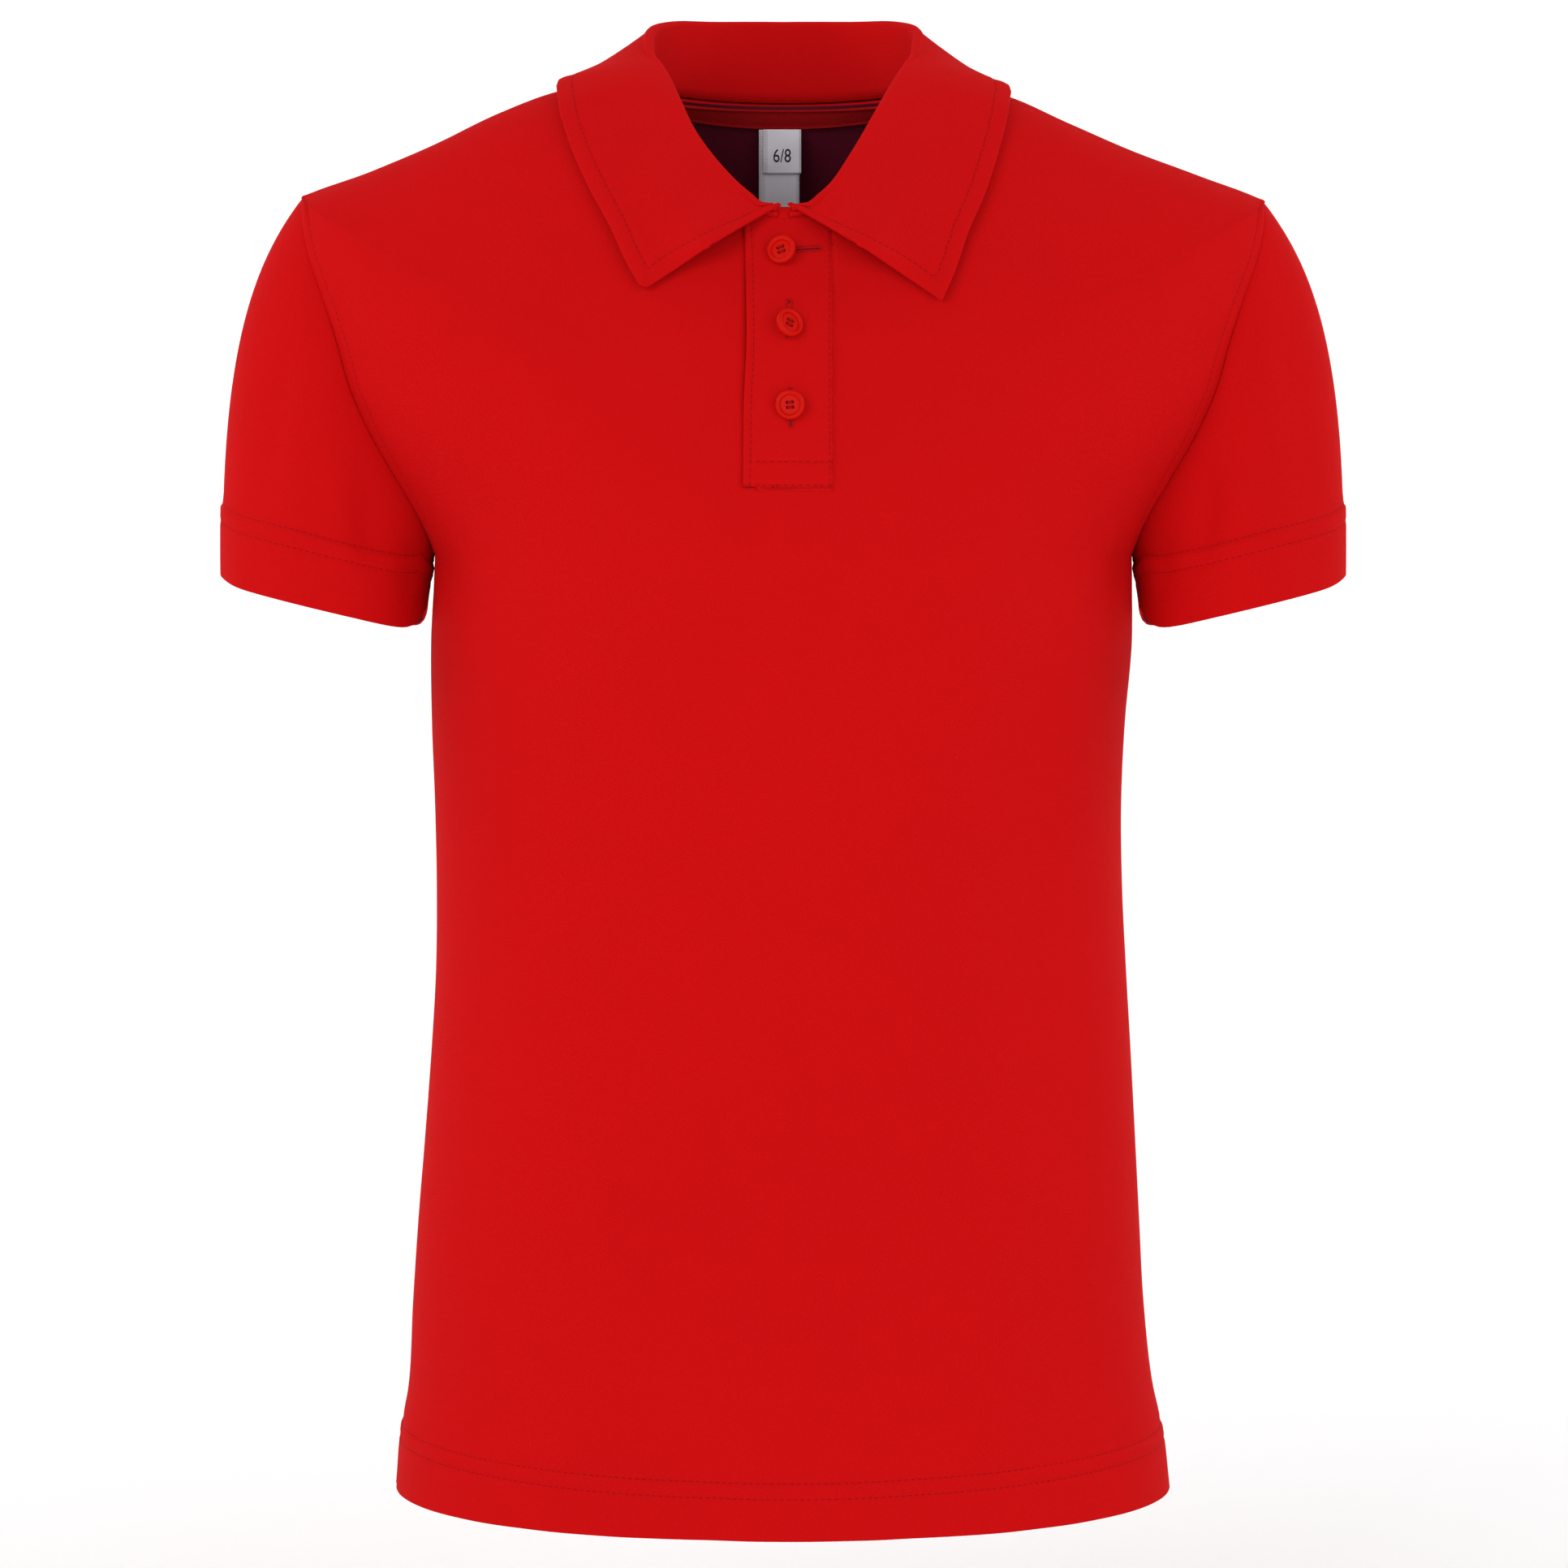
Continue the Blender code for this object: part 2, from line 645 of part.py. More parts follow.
def rim_normal(point, panels, normals):
    """The body's outward direction at a point of the neck seam, smoothed along the seam."""
    rim = np.concatenate([grid[0] for grid in panels.values()])
    facing = np.concatenate([grid[0] for grid in normals.values()])
    weight = np.exp(-((np.linalg.norm(rim - point, axis=1) / RIM_SMOOTHING) ** 2))
    return unit((facing * weight[:, None]).sum(axis=0))


def collar_yz(point, side, part):
    y = collar_table(side, point + "_y")(part)
    z = collar_table(side, point + "_z")(part)
    if side == "right" and point == "edge":
        z = z - RIGHT_POINT_DROP * max(part - 0.5, 0.0) * 2
    return y, z


def lift_clear(points, panels, normals, clearance, past_edge):
    """Moves points out until each clears the panels. In front they move straight forward.

    Points past a panel's neck edge move only if `past_edge` is true.
    """
    near = slice(0, PLACKET_RING + 1)
    surface, facing, down = [], [], []
    for name, grid in panels.items():
        steps = np.zeros_like(grid[near])
        steps[0] = grid[1] - grid[0]
        surface.append(grid[near].reshape(-1, 3))
        facing.append(normals[name][near].reshape(-1, 3))
        down.append(steps.reshape(-1, 3))
    surface, facing, down = (np.concatenate(part) for part in (surface, facing, down))
    flat = points.reshape(-1, 3).copy()
    for index, (point, wanted) in enumerate(zip(flat, clearance.reshape(-1))):
        nearest = np.argmin(((surface - point) ** 2).sum(axis=1))
        offset, normal = point - surface[nearest], facing[nearest]
        height = offset.dot(normal)
        is_past = offset.dot(down[nearest]) < 0
        is_near = np.linalg.norm(offset) < COLLAR_REACH
        if height > wanted or (is_past and not (past_edge and is_near)):
            continue
        direction = np.array([0.0, -1.0, 0.0]) if normal[1] < -FACES_FRONT else normal
        flat[index] = point + direction * (wanted - height) / direction.dot(normal)
    return flat.reshape(points.shape)


# ---------------------------------------------------------------- pieces
def make_body(finish):
    panels = {panel: body_panel(panel) for panel in ("front", "back")}
    normals = {panel: panel_normals(panel, grid) for panel, grid in panels.items()}
    sleeves = {side: sleeve_grid(side) for side in SIDE_SIGNS}
    for side, grid in sleeves.items():
        tube = sleeve_normals(side, grid)
        share_seam_normals(side, normals, tube)
        make_sleeve(side, grid, tube, finish)
    for edge in (0, -1):
        for row in list(range(FIRST_ARMHOLE_RING)) + list(range(UNDERARM_RING, len(ALL_RINGS))):
            shared = unit(normals["front"][row, edge] + normals["back"][row, edge])
            normals["front"][row, edge] = shared
            normals["back"][row, edge] = shared
    middle = range(SIDE_COLUMNS, SIDE_COLUMNS + PLACKET_COLUMNS)
    notch = {(row, col) for row in range(PLACKET_RING) for col in middle}
    for panel, grid in panels.items():
        wall = np.full(len(grid), CLOTH)
        wall[-2:] = HEM_WALL
        inner = grid - normals[panel] * wall[:, None, None]
        add_wall(panel, grid, inner, finish, missing=notch if panel == "front" else ())
    return panels, normals


def make_sleeve(side, grid, normals, finish):
    step = np.zeros(len(grid))
    step[SLEEVE_ROWS:] = CUFF_STEP
    wall = np.full(len(grid), CLOTH)
    wall[SLEEVE_ROWS:] = HEM_WALL
    outer = grid + normals * step[:, None, None]
    inner = outer - normals * wall[:, None, None]
    add_wall("sleeve_" + side, outer, inner, finish, wrap=True)


def make_collar(panels, normals, finish):
    shares = np.linspace(0, 1, COLLAR_SECTIONS)
    body = (panels, normals)
    left = [collar_line("left", share, body) for share in shares[::-1]]
    right = [collar_line("right", share, body) for share in shares[1:]]
    grid = np.array(left + right).transpose(1, 0, 2)
    over_placket = np.abs(grid[..., 0]) < PLACKET_RIGHT + COLLAR_REST_EASE
    rest = np.where(over_placket, PLACKET_WALL + COLLAR_REST, COLLAR_REST)
    rest[: STAND_ROWS + 1] = COLLAR_REST / 2
    fall_start = STAND_ROWS + ROLL_ROWS
    for rows, past_edge in ((slice(1, fall_start), False), (slice(fall_start, None), True)):
        grid[rows] = lift_clear(grid[rows], panels, normals, COLLAR_WALL / 2 + rest[rows], past_edge)
    half = grid_normals(grid) * COLLAR_WALL / 2
    add_wall("collar", grid + half, grid - half, finish)


def placket_strip(left, right, columns, end_cut):
    """Points of the front's own form between two upright lines, from the neck to the placket's end."""
    rows = []
    for place, share, front_drop, back_drop in RINGS[: PLACKET_RING + 1]:
        line = {side: ring_halves(side, place, share, front_drop, back_drop)[0] for side in SIDE_SIGNS}
        row = []
        for x in np.linspace(left, right, columns + 1):
            side = "left" if x < 0 else "right"
            row.append([x, *[np.interp(abs(x), line[side][:, 0], line[side][:, axis]) for axis in (1, 2)]])
        rows.append(row)
    grid = np.array(rows)
    grid[0] += unit(grid[1] - grid[0]) * PLACKET_START
    grid[-1, :, 2] += end_cut
    return grid


def make_plackets(finish):
    columns = 6
    width = PLACKET_RIGHT - PLACKET_LEFT
    proud = PLACKET_WALL + SEAM_GAP

    top = placket_strip(PLACKET_LEFT, PLACKET_RIGHT, columns, SEAM_GAP)
    facing = grid_normals(top)
    rise = proud * (PLACKET_RIGHT - top[..., 0]) / width
    outer = top + facing * rise[..., None]
    add_wall("placket_top", outer, outer - facing * PLACKET_WALL, finish)

    under_left = notch_left() + SEAM_GAP
    under_right = PLACKET_RIGHT - PLACKET_TUCK
    under = placket_strip(under_left, under_right, columns, 2 * SEAM_GAP)
    facing_under = grid_normals(under)
    sink = proud * (1 - (PLACKET_RIGHT - under[..., 0]) / width) + SEAM_GAP / 2
    outer_under = under - facing_under * sink[..., None]
    add_wall("placket_under", outer_under, outer_under - facing_under * PLACKET_WALL, finish)
    return top, facing, rise


def make_neck_tape(panels, normals, finish):
    """A tape that covers the neck seam inside, from shoulder to shoulder."""
    back, facing = panels["back"][:2, 1:-1], normals["back"][:2, 1:-1]
    seam, below = back - facing * (CLOTH + 2 * SEAM_GAP)
    down = unit(below - seam)
    grid = np.array([seam + down * (TAPE_START + TAPE_WIDTH * part) for part in (0.0, 0.5, 1.0)])
    add_wall("neck_tape", grid, grid - facing[0] * TRIM_WALL, finish)


def make_label(label, finish):
    """A label that hangs from the neck tape, inside the back."""
    rows = []
    for part in np.linspace(0, 1, 5):
        y = label.y + label.lean * part
        z = -label.drop - label.length * part
        rows.append([[x, y, z] for x in np.linspace(label.left, label.right, 3)])
    grid = np.array(rows)
    add_wall(label.name, grid, grid + np.array([0.0, TRIM_WALL, 0.0]), finish)


def make_button(index, button, placket, finish):
    """A lathed disc with a raised rim, a sunk middle and four holes, tipped as it hangs."""
    profile = [
        (0.0, 0.0),
        (BUTTON_RADIUS * 0.80, 0.0),
        (BUTTON_RADIUS, BUTTON_THICKNESS * 0.40),
        (BUTTON_RADIUS, BUTTON_THICKNESS * 0.75),
        (BUTTON_RADIUS * 0.88, BUTTON_THICKNESS),
        (BUTTON_RADIUS * 0.72, BUTTON_THICKNESS),
        (BUTTON_RADIUS * 0.58, BUTTON_THICKNESS * 0.66),
        (0.0, BUTTON_THICKNESS * 0.66),
    ]
    mesh = bmesh.new()
    verts = [mesh.verts.new((radius * MM, 0, height * MM)) for radius, height in profile]
    edges = [mesh.edges.new(pair) for pair in zip(verts, verts[1:])]
    bmesh.ops.spin(
        mesh, geom=verts + edges, axis=(0, 0, 1), cent=(0, 0, 0), angle=2 * math.pi, steps=BUTTON_SIDES
    )
    bmesh.ops.remove_doubles(mesh, verts=mesh.verts, dist=0.00001)
    name = f"button_{index}"
    obj = finish_mesh(name, mesh, finish)
    for hole in range(4):
        turn = math.radians(45 + 90 * hole)
        cutter = add_hole_cutter(f"{name}_hole_{hole + 1}")
        cutter.parent = obj
        spread = BUTTON_HOLE_SPREAD * MM
        cutter.location = (spread * math.cos(turn), spread * math.sin(turn), BUTTON_THICKNESS / 2 * MM)
        cut = obj.modifiers.new(cutter.name, "BOOLEAN")
        cut.operation = "DIFFERENCE"
        cut.object = cutter

    top, facing, rise = placket
    outer = (top + facing * rise[..., None]).reshape(-1, 3)
    nearest = np.argmin(np.hypot(outer[:, 0] - button.x, outer[:, 2] + button.drop))
    normal = facing.reshape(-1, 3)[nearest]
    depth = outer[nearest, 1] + (button.drop + outer[nearest, 2]) * normal[2] / normal[1]
    seat = np.array([button.x, depth, -button.drop])
    slope = math.degrees(math.asin(normal[2]))
    turn_up = math.radians(90 - slope - button.tip_up)
    obj.rotation_euler = (turn_up, 0, math.radians(button.tip_right))
    turned = np.array(obj.rotation_euler.to_matrix())
    lowest = min(normal.dot(turned @ np.array(vert.co)) for vert in obj.data.vertices) / MM
    obj.location = (seat + normal * (BUTTON_THREAD - lowest)) * MM


def add_hole_cutter(name):
    mesh = bmesh.new()
    bmesh.ops.create_cone(
        mesh,
        cap_ends=True,
        segments=8,
        radius1=BUTTON_HOLE_RADIUS * MM,
        radius2=BUTTON_HOLE_RADIUS * MM,
        depth=BUTTON_THICKNESS * 3 * MM,
    )
    data = bpy.data.meshes.new(name)
    mesh.to_mesh(data)
    mesh.free()
    cutter = bpy.data.objects.new(name, data)
    bpy.context.collection.objects.link(cutter)
    cutter.hide_render = True
    cutter.display_type = "WIRE"
    return cutter


def main():
    for obj in list(bpy.data.objects):
        bpy.data.objects.remove(obj, do_unlink=True)
    knit = add_finish("red_knit", (0.60, 0.006, 0.007), 0.75)
    satin = add_finish("white_satin", (0.70, 0.70, 0.76), 0.4)
    gloss = add_finish("red_gloss", (0.66, 0.012, 0.006), 0.25)

    panels, normals = make_body(knit)
    make_collar(panels, normals, knit)
    placket = make_plackets(knit)
    make_neck_tape(panels, normals, knit)
    for label in LABELS:
        make_label(label, satin)
    for index, button in enumerate(BUTTONS, start=1):
        make_button(index, button, placket, gloss)


main()
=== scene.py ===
# %% [markdown]
# # A child's polo shirt, cut and sewn in Blender
# The shirt is knitted cotton, filled out as if it were worn. This lesson loads the frame first, then sets up
# the camera and the studio, then makes the cloth with its collar, placket, labels and buttons, and last the
# finishes and the sewing. The sizes are in millimetres and the meshes in metres, in the frame's own place, so
# nothing has to be fitted afterwards.

# %% load the frame
import math
from collections import namedtuple

import bmesh
import bpy
import numpy as np
from mathutils import Euler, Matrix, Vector
from mathutils.bvhtree import BVHTree


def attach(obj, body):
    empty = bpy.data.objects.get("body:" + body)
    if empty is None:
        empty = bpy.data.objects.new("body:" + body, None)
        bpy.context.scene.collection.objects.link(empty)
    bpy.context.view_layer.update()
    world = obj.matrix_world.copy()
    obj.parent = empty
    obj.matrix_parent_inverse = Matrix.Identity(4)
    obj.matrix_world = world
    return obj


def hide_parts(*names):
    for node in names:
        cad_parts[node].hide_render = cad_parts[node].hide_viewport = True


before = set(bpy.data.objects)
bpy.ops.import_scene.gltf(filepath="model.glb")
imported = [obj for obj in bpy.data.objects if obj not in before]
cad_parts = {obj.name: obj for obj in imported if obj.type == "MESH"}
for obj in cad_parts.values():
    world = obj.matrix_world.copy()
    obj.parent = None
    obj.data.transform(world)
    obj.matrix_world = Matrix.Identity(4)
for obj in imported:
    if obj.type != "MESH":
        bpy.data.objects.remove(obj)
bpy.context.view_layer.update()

MM = 0.001
scene = bpy.context.scene

# %% [markdown]
# ## The camera
# The photograph was taken straight from the front with a long lens, a little above the middle of the chest.
# A camera that is aimed at a point keeps that view easy to read: where it stands, what it looks at, its lens.

# %% camera
CAMERA_PLACE = Vector((0.0, -1.8, -0.170))
CAMERA_TARGET = Vector((0.0, 0.0, -0.2562))
CAMERA_LENS = 111.93
SIDE_SHIFT = 1 / 1932  # the shirt's middle is one pixel left of the picture's


def aim(obj, place, target):
    obj.location = place
    obj.rotation_euler = (Vector(target) - Vector(place)).to_track_quat("-Z", "Y").to_euler()


def add_camera():
    data = bpy.data.cameras.new("camera")
    data.sensor_width = 36.0
    data.lens = CAMERA_LENS
    data.shift_x = SIDE_SHIFT
    camera = bpy.data.objects.new("camera", data)
    scene.collection.objects.link(camera)
    aim(camera, CAMERA_PLACE, CAMERA_TARGET)
    scene.camera = camera
    return camera


camera = add_camera()
print("camera: lens", camera.data.lens, "mm")

# %% [markdown]
# ## The studio
# The floor runs up into the backdrop in one curve, as a paper roll does, so no horizon shows. Large soft
# lights stand in front, on both sides and low down, and two more light the paper. The plain view transform
# keeps the red as strong as it is.

# %% floor and backdrop
FLOOR_Z = -0.62
STUDIO_HALF_WIDTH = 6.0
PAPER_FRONT = -5.0
PAPER_BEND_START = 1.6
PAPER_BEND_RADIUS = 1.2
PAPER_TOP = 5.0
PAPER_BEND_STEPS = 16


def add_paper():
    profile = [(PAPER_FRONT, FLOOR_Z)]
    for step in range(PAPER_BEND_STEPS + 1):
        turn = math.pi / 2 * step / PAPER_BEND_STEPS
        y = PAPER_BEND_START + PAPER_BEND_RADIUS * math.sin(turn)
        profile.append((y, FLOOR_Z + PAPER_BEND_RADIUS * (1 - math.cos(turn))))
    profile.append((PAPER_BEND_START + PAPER_BEND_RADIUS, PAPER_TOP))
    mesh = bmesh.new()
    sides = [[mesh.verts.new((x, y, z)) for y, z in profile] for x in (-STUDIO_HALF_WIDTH, STUDIO_HALF_WIDTH)]
    for i in range(len(profile) - 1):
        mesh.faces.new([sides[0][i], sides[1][i], sides[1][i + 1], sides[0][i + 1]])
    data = bpy.data.meshes.new("paper")
    mesh.to_mesh(data)
    mesh.free()
    data.shade_smooth()
    paper = bpy.data.objects.new("paper", data)
    scene.collection.objects.link(paper)
    finish = bpy.data.materials.new("paper_white")
    finish.use_nodes = True
    shader = finish.node_tree.nodes["Principled BSDF"]
    shader.inputs["Base Color"].default_value = (0.90, 0.90, 0.90, 1.0)
    shader.inputs["Roughness"].default_value = 0.9
    data.materials.append(finish)
    return paper


add_paper()
print("paper: floor at", FLOOR_Z)

# %% lights
Light = namedtuple("Light", "name place target size power")
LIGHTS = [
    Light("key", (-1.2, -2.1, 0.55), (0.0, 0.0, -0.25), 1.4, 19.0),
    Light("fill", (1.4, -2.1, 0.2), (0.0, 0.0, -0.25), 1.8, 14.0),
    Light("low", (0.0, -2.4, -0.45), (0.0, 0.0, -0.40), 1.2, 8.0),
    Light("paper_left", (-2.2, 0.6, 1.4), (-0.6, 2.6, 0.0), 1.6, 45.0),
    Light("paper_right", (2.2, 0.6, 1.4), (0.6, 2.6, 0.0), 1.6, 45.0),
]
AMBIENT = 0.38


def add_lights():
    for row in LIGHTS:
        data = bpy.data.lights.new(row.name, "AREA")
        data.size = row.size
        data.energy = row.power
        light = bpy.data.objects.new(row.name, data)
        scene.collection.objects.link(light)
        aim(light, row.place, row.target)
    world = bpy.data.worlds.new("studio")
    world.use_nodes = True
    world.node_tree.nodes["Background"].inputs["Color"].default_value = (1.0, 1.0, 1.0, 1.0)
    world.node_tree.nodes["Background"].inputs["Strength"].default_value = AMBIENT
    scene.world = world
    scene.view_settings.view_transform = "Standard"


add_lights()
print("lights:", ", ".join(row.name for row in LIGHTS))

# %% [markdown]
# ## The shirt's sizes
# Every surface of the shirt is worked out from a few sizes in millimetres and short tables: how wide and
# deep the body is at each height, where the shoulders and armholes run, and how the collar folds. They are
# the sizes of the frame's own solids, so the fine cloth lies where they are.

# %% sizes
CLOTH = 1.3
HEM_WALL = 2.3
COLLAR_WALL = 1.6
PLACKET_WALL = 1.5
TRIM_WALL = 1.0
SEAM_GAP = 0.3
HEM_STEP = 0.5
CUFF_STEP = 1.0
CUFF_BAND = 26.5
STEP_RISE = 1.2

BODY_LENGTH = 519.0
NECK_HALF_WIDTH = 57.0
UNDERARM_DROP = 172.0
SHOULDER_REACH = 176.0
ARMHOLE_FRONT = 34.0
ARMHOLE_BACK = 33.0
NECK_SEAM_FORWARD = 14.0
TIP_SEAM_FORWARD = 3.0

PLACKET_LEFT = -13.7
PLACKET_RIGHT = 17.0
PLACKET_OVERLAP = 1.4
PLACKET_TUCK = 3.0
PLACKET_END = 148.0

TAPE_START = 1.0
TAPE_WIDTH = 8.0

NECK_FRONT_DROP = 51.5
NECK_BACK_DROP = 1.2
HEM_SIDE_LIFT = 6.0
HEM_EDGE_LIFT = 2.2
MIDDLE_BOW = 0.4

SIDE_SIGNS = {"left": -1.0, "right": 1.0}

# %% tables of the form
Side = namedtuple("Side", "drop left right")
SIDES = [
    Side(172, 128.4, 128.4),
    Side(190, 129.4, 129.2),
    Side(225, 129.6, 126.4),
    Side(272, 128.2, 124.6),
    Side(320, 128.1, 126.5),
    Side(368, 131.0, 129.3),
    Side(416, 135.0, 131.8),
    Side(464, 138.2, 135.1),
    Side(478, 139.0, 137.0),
    Side(492, 141.4, 140.0),
    Side(519, 143.6, 143.0),
]
Depth = namedtuple("Depth", "drop depth")
FRONT_DEPTHS = [
    Depth(50, 55.5),
    Depth(65, 64.5),
    Depth(80, 72.5),
    Depth(100, 80.5),
    Depth(125, 88.0),
    Depth(150, 93.5),
    Depth(172, 96.5),
    Depth(200, 98.0),
    Depth(250, 96.5),
    Depth(300, 94.0),
    Depth(350, 93.0),
    Depth(400, 93.5),
    Depth(450, 94.5),
    Depth(495, 96.0),
    Depth(519, 97.0),
]
BACK_DEPTHS = [
    Depth(1, 58.0),
    Depth(12, 66.0),
    Depth(30, 76.0),
    Depth(50, 84.0),
    Depth(75, 91.0),
    Depth(105, 95.5),
    Depth(140, 96.5),
    Depth(172, 94.5),
    Depth(210, 90.0),
    Depth(260, 84.5),
    Depth(310, 82.0),
    Depth(360, 84.0),
    Depth(410, 88.0),
    Depth(460, 91.5),
    Depth(519, 94.5),
]
Ridge = namedtuple("Ridge", "reach left_drop right_drop")
SHOULDER = [
    Ridge(57, -1.0, -0.2),
    Ridge(72, 0.0, 1.2),
    Ridge(84, 2.0, 4.0),
    Ridge(97, 6.6, 9.8),
    Ridge(115, 14.7, 18.0),
    Ridge(133, 23.5, 25.4),
    Ridge(151, 30.9, 32.0),
    Ridge(167, 36.7, 37.9),
    Ridge(176, 40.5, 42.0),
]
Armhole = namedtuple("Armhole", "drop reach")
ARMHOLE = [
    Armhole(39, 176.0),
    Armhole(57, 174.0),
    Armhole(72, 169.0),
    Armhole(91, 162.5),
    Armhole(112, 156.5),
    Armhole(126, 150.5),
    Armhole(140, 143.0),
    Armhole(152, 136.0),
    Armhole(163, 130.8),
    Armhole(173, 128.4),
]
Band = namedtuple("Band", "place rings front_drop back_drop end")
BANDS = [
    Band("shoulder", 5, 98.0, 46.0, 1.0),
    Band("armhole", 8, PLACKET_END, 138.0, 0.70),
    Band("armhole", 4, UNDERARM_DROP, UNDERARM_DROP, 1.0),
    Band("side", 10, 478.0, 478.0, 1.0),
    Band("side", 1, 498.6, 497.0, 1.0),
]
print("tables:", len(SIDES), "sides,", len(FRONT_DEPTHS) + len(BACK_DEPTHS), "depths,", len(BANDS), "bands")

# %% [markdown]
# ## Folds and creases
# Worn cloth is never quite even. Each row is one soft fold: the line it runs along as seen from the front,
# its height (a trough is negative) and its half width. The large ones are those of the frame's solids. The
# creases are smaller: the tucks round the placket's foot, the drag lines from the underarms and the slack
# below the shoulders. The back, which the photograph doesn't show, has similar ones.

# %% folds
Fold = namedtuple("Fold", "panel start_x start_drop end_x end_drop depth width")
FOLD_START = 0.1
FOLDS = [
    Fold("front", -26, 320, -34, 519, -2.2, 20),
    Fold("front", 38, 350, 52, 519, -1.6, 22),
    Fold("front", -84, 300, -96, 500, 1.6, 24),
    Fold("front", -122, 182, -66, 214, -1.8, 13),
    Fold("front", 121, 184, 74, 224, -1.5, 14),
    Fold("front", 86, 250, 92, 420, -1.4, 20),
    Fold("front", -62, 100, -48, 150, -1.3, 16),
    Fold("back", 8, 60, -6, 230, -1.8, 20),
    Fold("back", -118, 186, -52, 262, -2.6, 15),
    Fold("back", 117, 190, 60, 250, -2.2, 16),
    Fold("back", -60, 300, -40, 500, 2.2, 22),
    Fold("back", 24, 330, 44, 519, -2.4, 20),
    Fold("back", 92, 350, 84, 510, 1.6, 22),
]
CREASES = [
    Fold("front", -15.8, 142, -20.5, 164, -1.1, 2.6),
    Fold("front", -18.6, 146, -25.0, 161, 0.7, 3.2),
    Fold("front", -9.0, 149, -10.5, 158, -0.5, 1.8),
    Fold("front", -2.5, 149, -2.0, 162, 0.4, 2.4),
    Fold("front", 6.0, 149, 6.5, 157, -0.4, 1.9),
    Fold("front", 13.5, 149, 16.0, 163, -0.6, 2.6),
    Fold("front", -126, 168, -104, 196, -1.2, 4.5),
    Fold("front", -120, 164, -92, 178, -0.9, 4.0),
    Fold("front", 125, 170, 108, 192, -1.1, 4.2),
    Fold("front", 118, 163, 96, 174, -0.8, 3.8),
    Fold("front", -60, 82, -104, 96, -0.7, 9.0),
    Fold("front", 66, 88, 110, 96, -0.8, 9.0),
    Fold("front", -30, 158, -52, 190, -0.5, 6.0),
    Fold("front", 34, 150, 46, 196, -0.5, 7.0),
    Fold("back", -126, 168, -92, 208, -2.0, 5.5),
    Fold("back", 126, 170, 94, 204, -1.8, 5.5),
    Fold("back", -122, 176, -84, 236, 1.2, 7.0),
    Fold("back", 122, 178, 88, 228, 1.1, 7.0),
    Fold("back", -96, 56, -38, 96, -1.4, 9.0),
    Fold("back", 92, 60, 42, 92, -1.2, 9.0),
    Fold("back", -58, 120, -34, 182, -0.9, 10.0),
    Fold("back", 66, 128, 50, 172, 0.8, 9.0),
    Fold("back", -12, 290, -22, 430, -1.3, 9.0),
    Fold("back", 14, 240, 8, 330, 0.9, 11.0),
    Fold("back", 62, 270, 72, 392, 1.2, 10.0),
    Fold("back", -84, 330, -92, 450, -1.2, 10.0),
]
print("folds:", len(FOLDS), "large and", len(CREASES), "small")

# %% [markdown]
# ## Curves through short tables
# One helper draws a smooth curve through a table's values, whether they are numbers or whole rows of points.
# The others measure along a line and cut it at given lengths, which is what a pattern cutter's tape does.

# %% curve helpers
def smooth(places, values):
    """Curve through the given values, whose slope at each comes from its neighbours."""
    places = np.array(places, float)
    values = np.array(values, float)
    slopes = np.gradient(values, places, axis=0)
    more = (1,) * (values.ndim - 1)

    def curve(place):
        place = np.clip(place, places[0], places[-1])
        i = np.clip(np.searchsorted(places, place) - 1, 0, len(places) - 2)
        width = np.reshape(places[i + 1] - places[i], np.shape(place) + more)
        t = np.reshape(place - places[i], np.shape(place) + more) / width
        rise = values[i] + (values[i + 1] - values[i]) * t * t * (3 - 2 * t)
        return rise + width * t * (1 - t) * (slopes[i] * (1 - t) - slopes[i + 1] * t)

    return curve


def column(table, key, name):
    return smooth([getattr(row, key) for row in table], [getattr(row, name) for row in table])


def lengths(points):
    steps = np.linalg.norm(np.diff(points, axis=0), axis=1)
    return np.concatenate([[0.0], np.cumsum(steps)])


def at_lengths(points, wanted):
    along = lengths(points)
    return np.stack([np.interp(wanted, along, points[:, axis]) for axis in range(3)], axis=1)


def unit(vectors):
    return vectors / np.maximum(np.linalg.norm(vectors, axis=-1, keepdims=True), 1e-9)


def bump(distance, width):
    return np.exp(-((distance / width) ** 2))


def ripple(along, waves):
    """Uneven ripple between about -1 and 1; `waves` holds pairs of wavelength and phase."""
    return sum(np.sin(2 * math.pi * along / length + phase) for length, phase in waves) / len(waves)


front_depth = column(FRONT_DEPTHS, "drop", "depth")
back_depth = column(BACK_DEPTHS, "drop", "depth")
armhole_reach = column(ARMHOLE, "drop", "reach")
side_reach = {side: column(SIDES, "drop", side) for side in SIDE_SIGNS}
ridge_drop = {side: column(SHOULDER, "reach", side + "_drop") for side in SIDE_SIGNS}
print("curves: chest half width", round(float(side_reach["left"](200.0)), 1), "mm")

# %% [markdown]
# ## Rings round the body
# The body is a stack of rings from the neck down to the hem. Each quarter of a ring is a rounded arch, and it
# is cut where a seam is: on the shoulder, along the armhole, or down the side.

# %% rings
CURVE_POINTS = 121


def armhole_point(side, angle):
    turn = math.radians(angle)
    tip_drop = ridge_drop[side](SHOULDER_REACH)
    middle = (tip_drop + UNDERARM_DROP) / 2
    drop = middle - (UNDERARM_DROP - tip_drop) / 2 * math.cos(turn)
    depth = ARMHOLE_FRONT if angle <= 180 else ARMHOLE_BACK
    y = -depth * math.sin(turn) - TIP_SEAM_FORWARD * max(math.cos(turn), 0.0) ** 2
    return np.array([armhole_reach(drop), y, -drop])


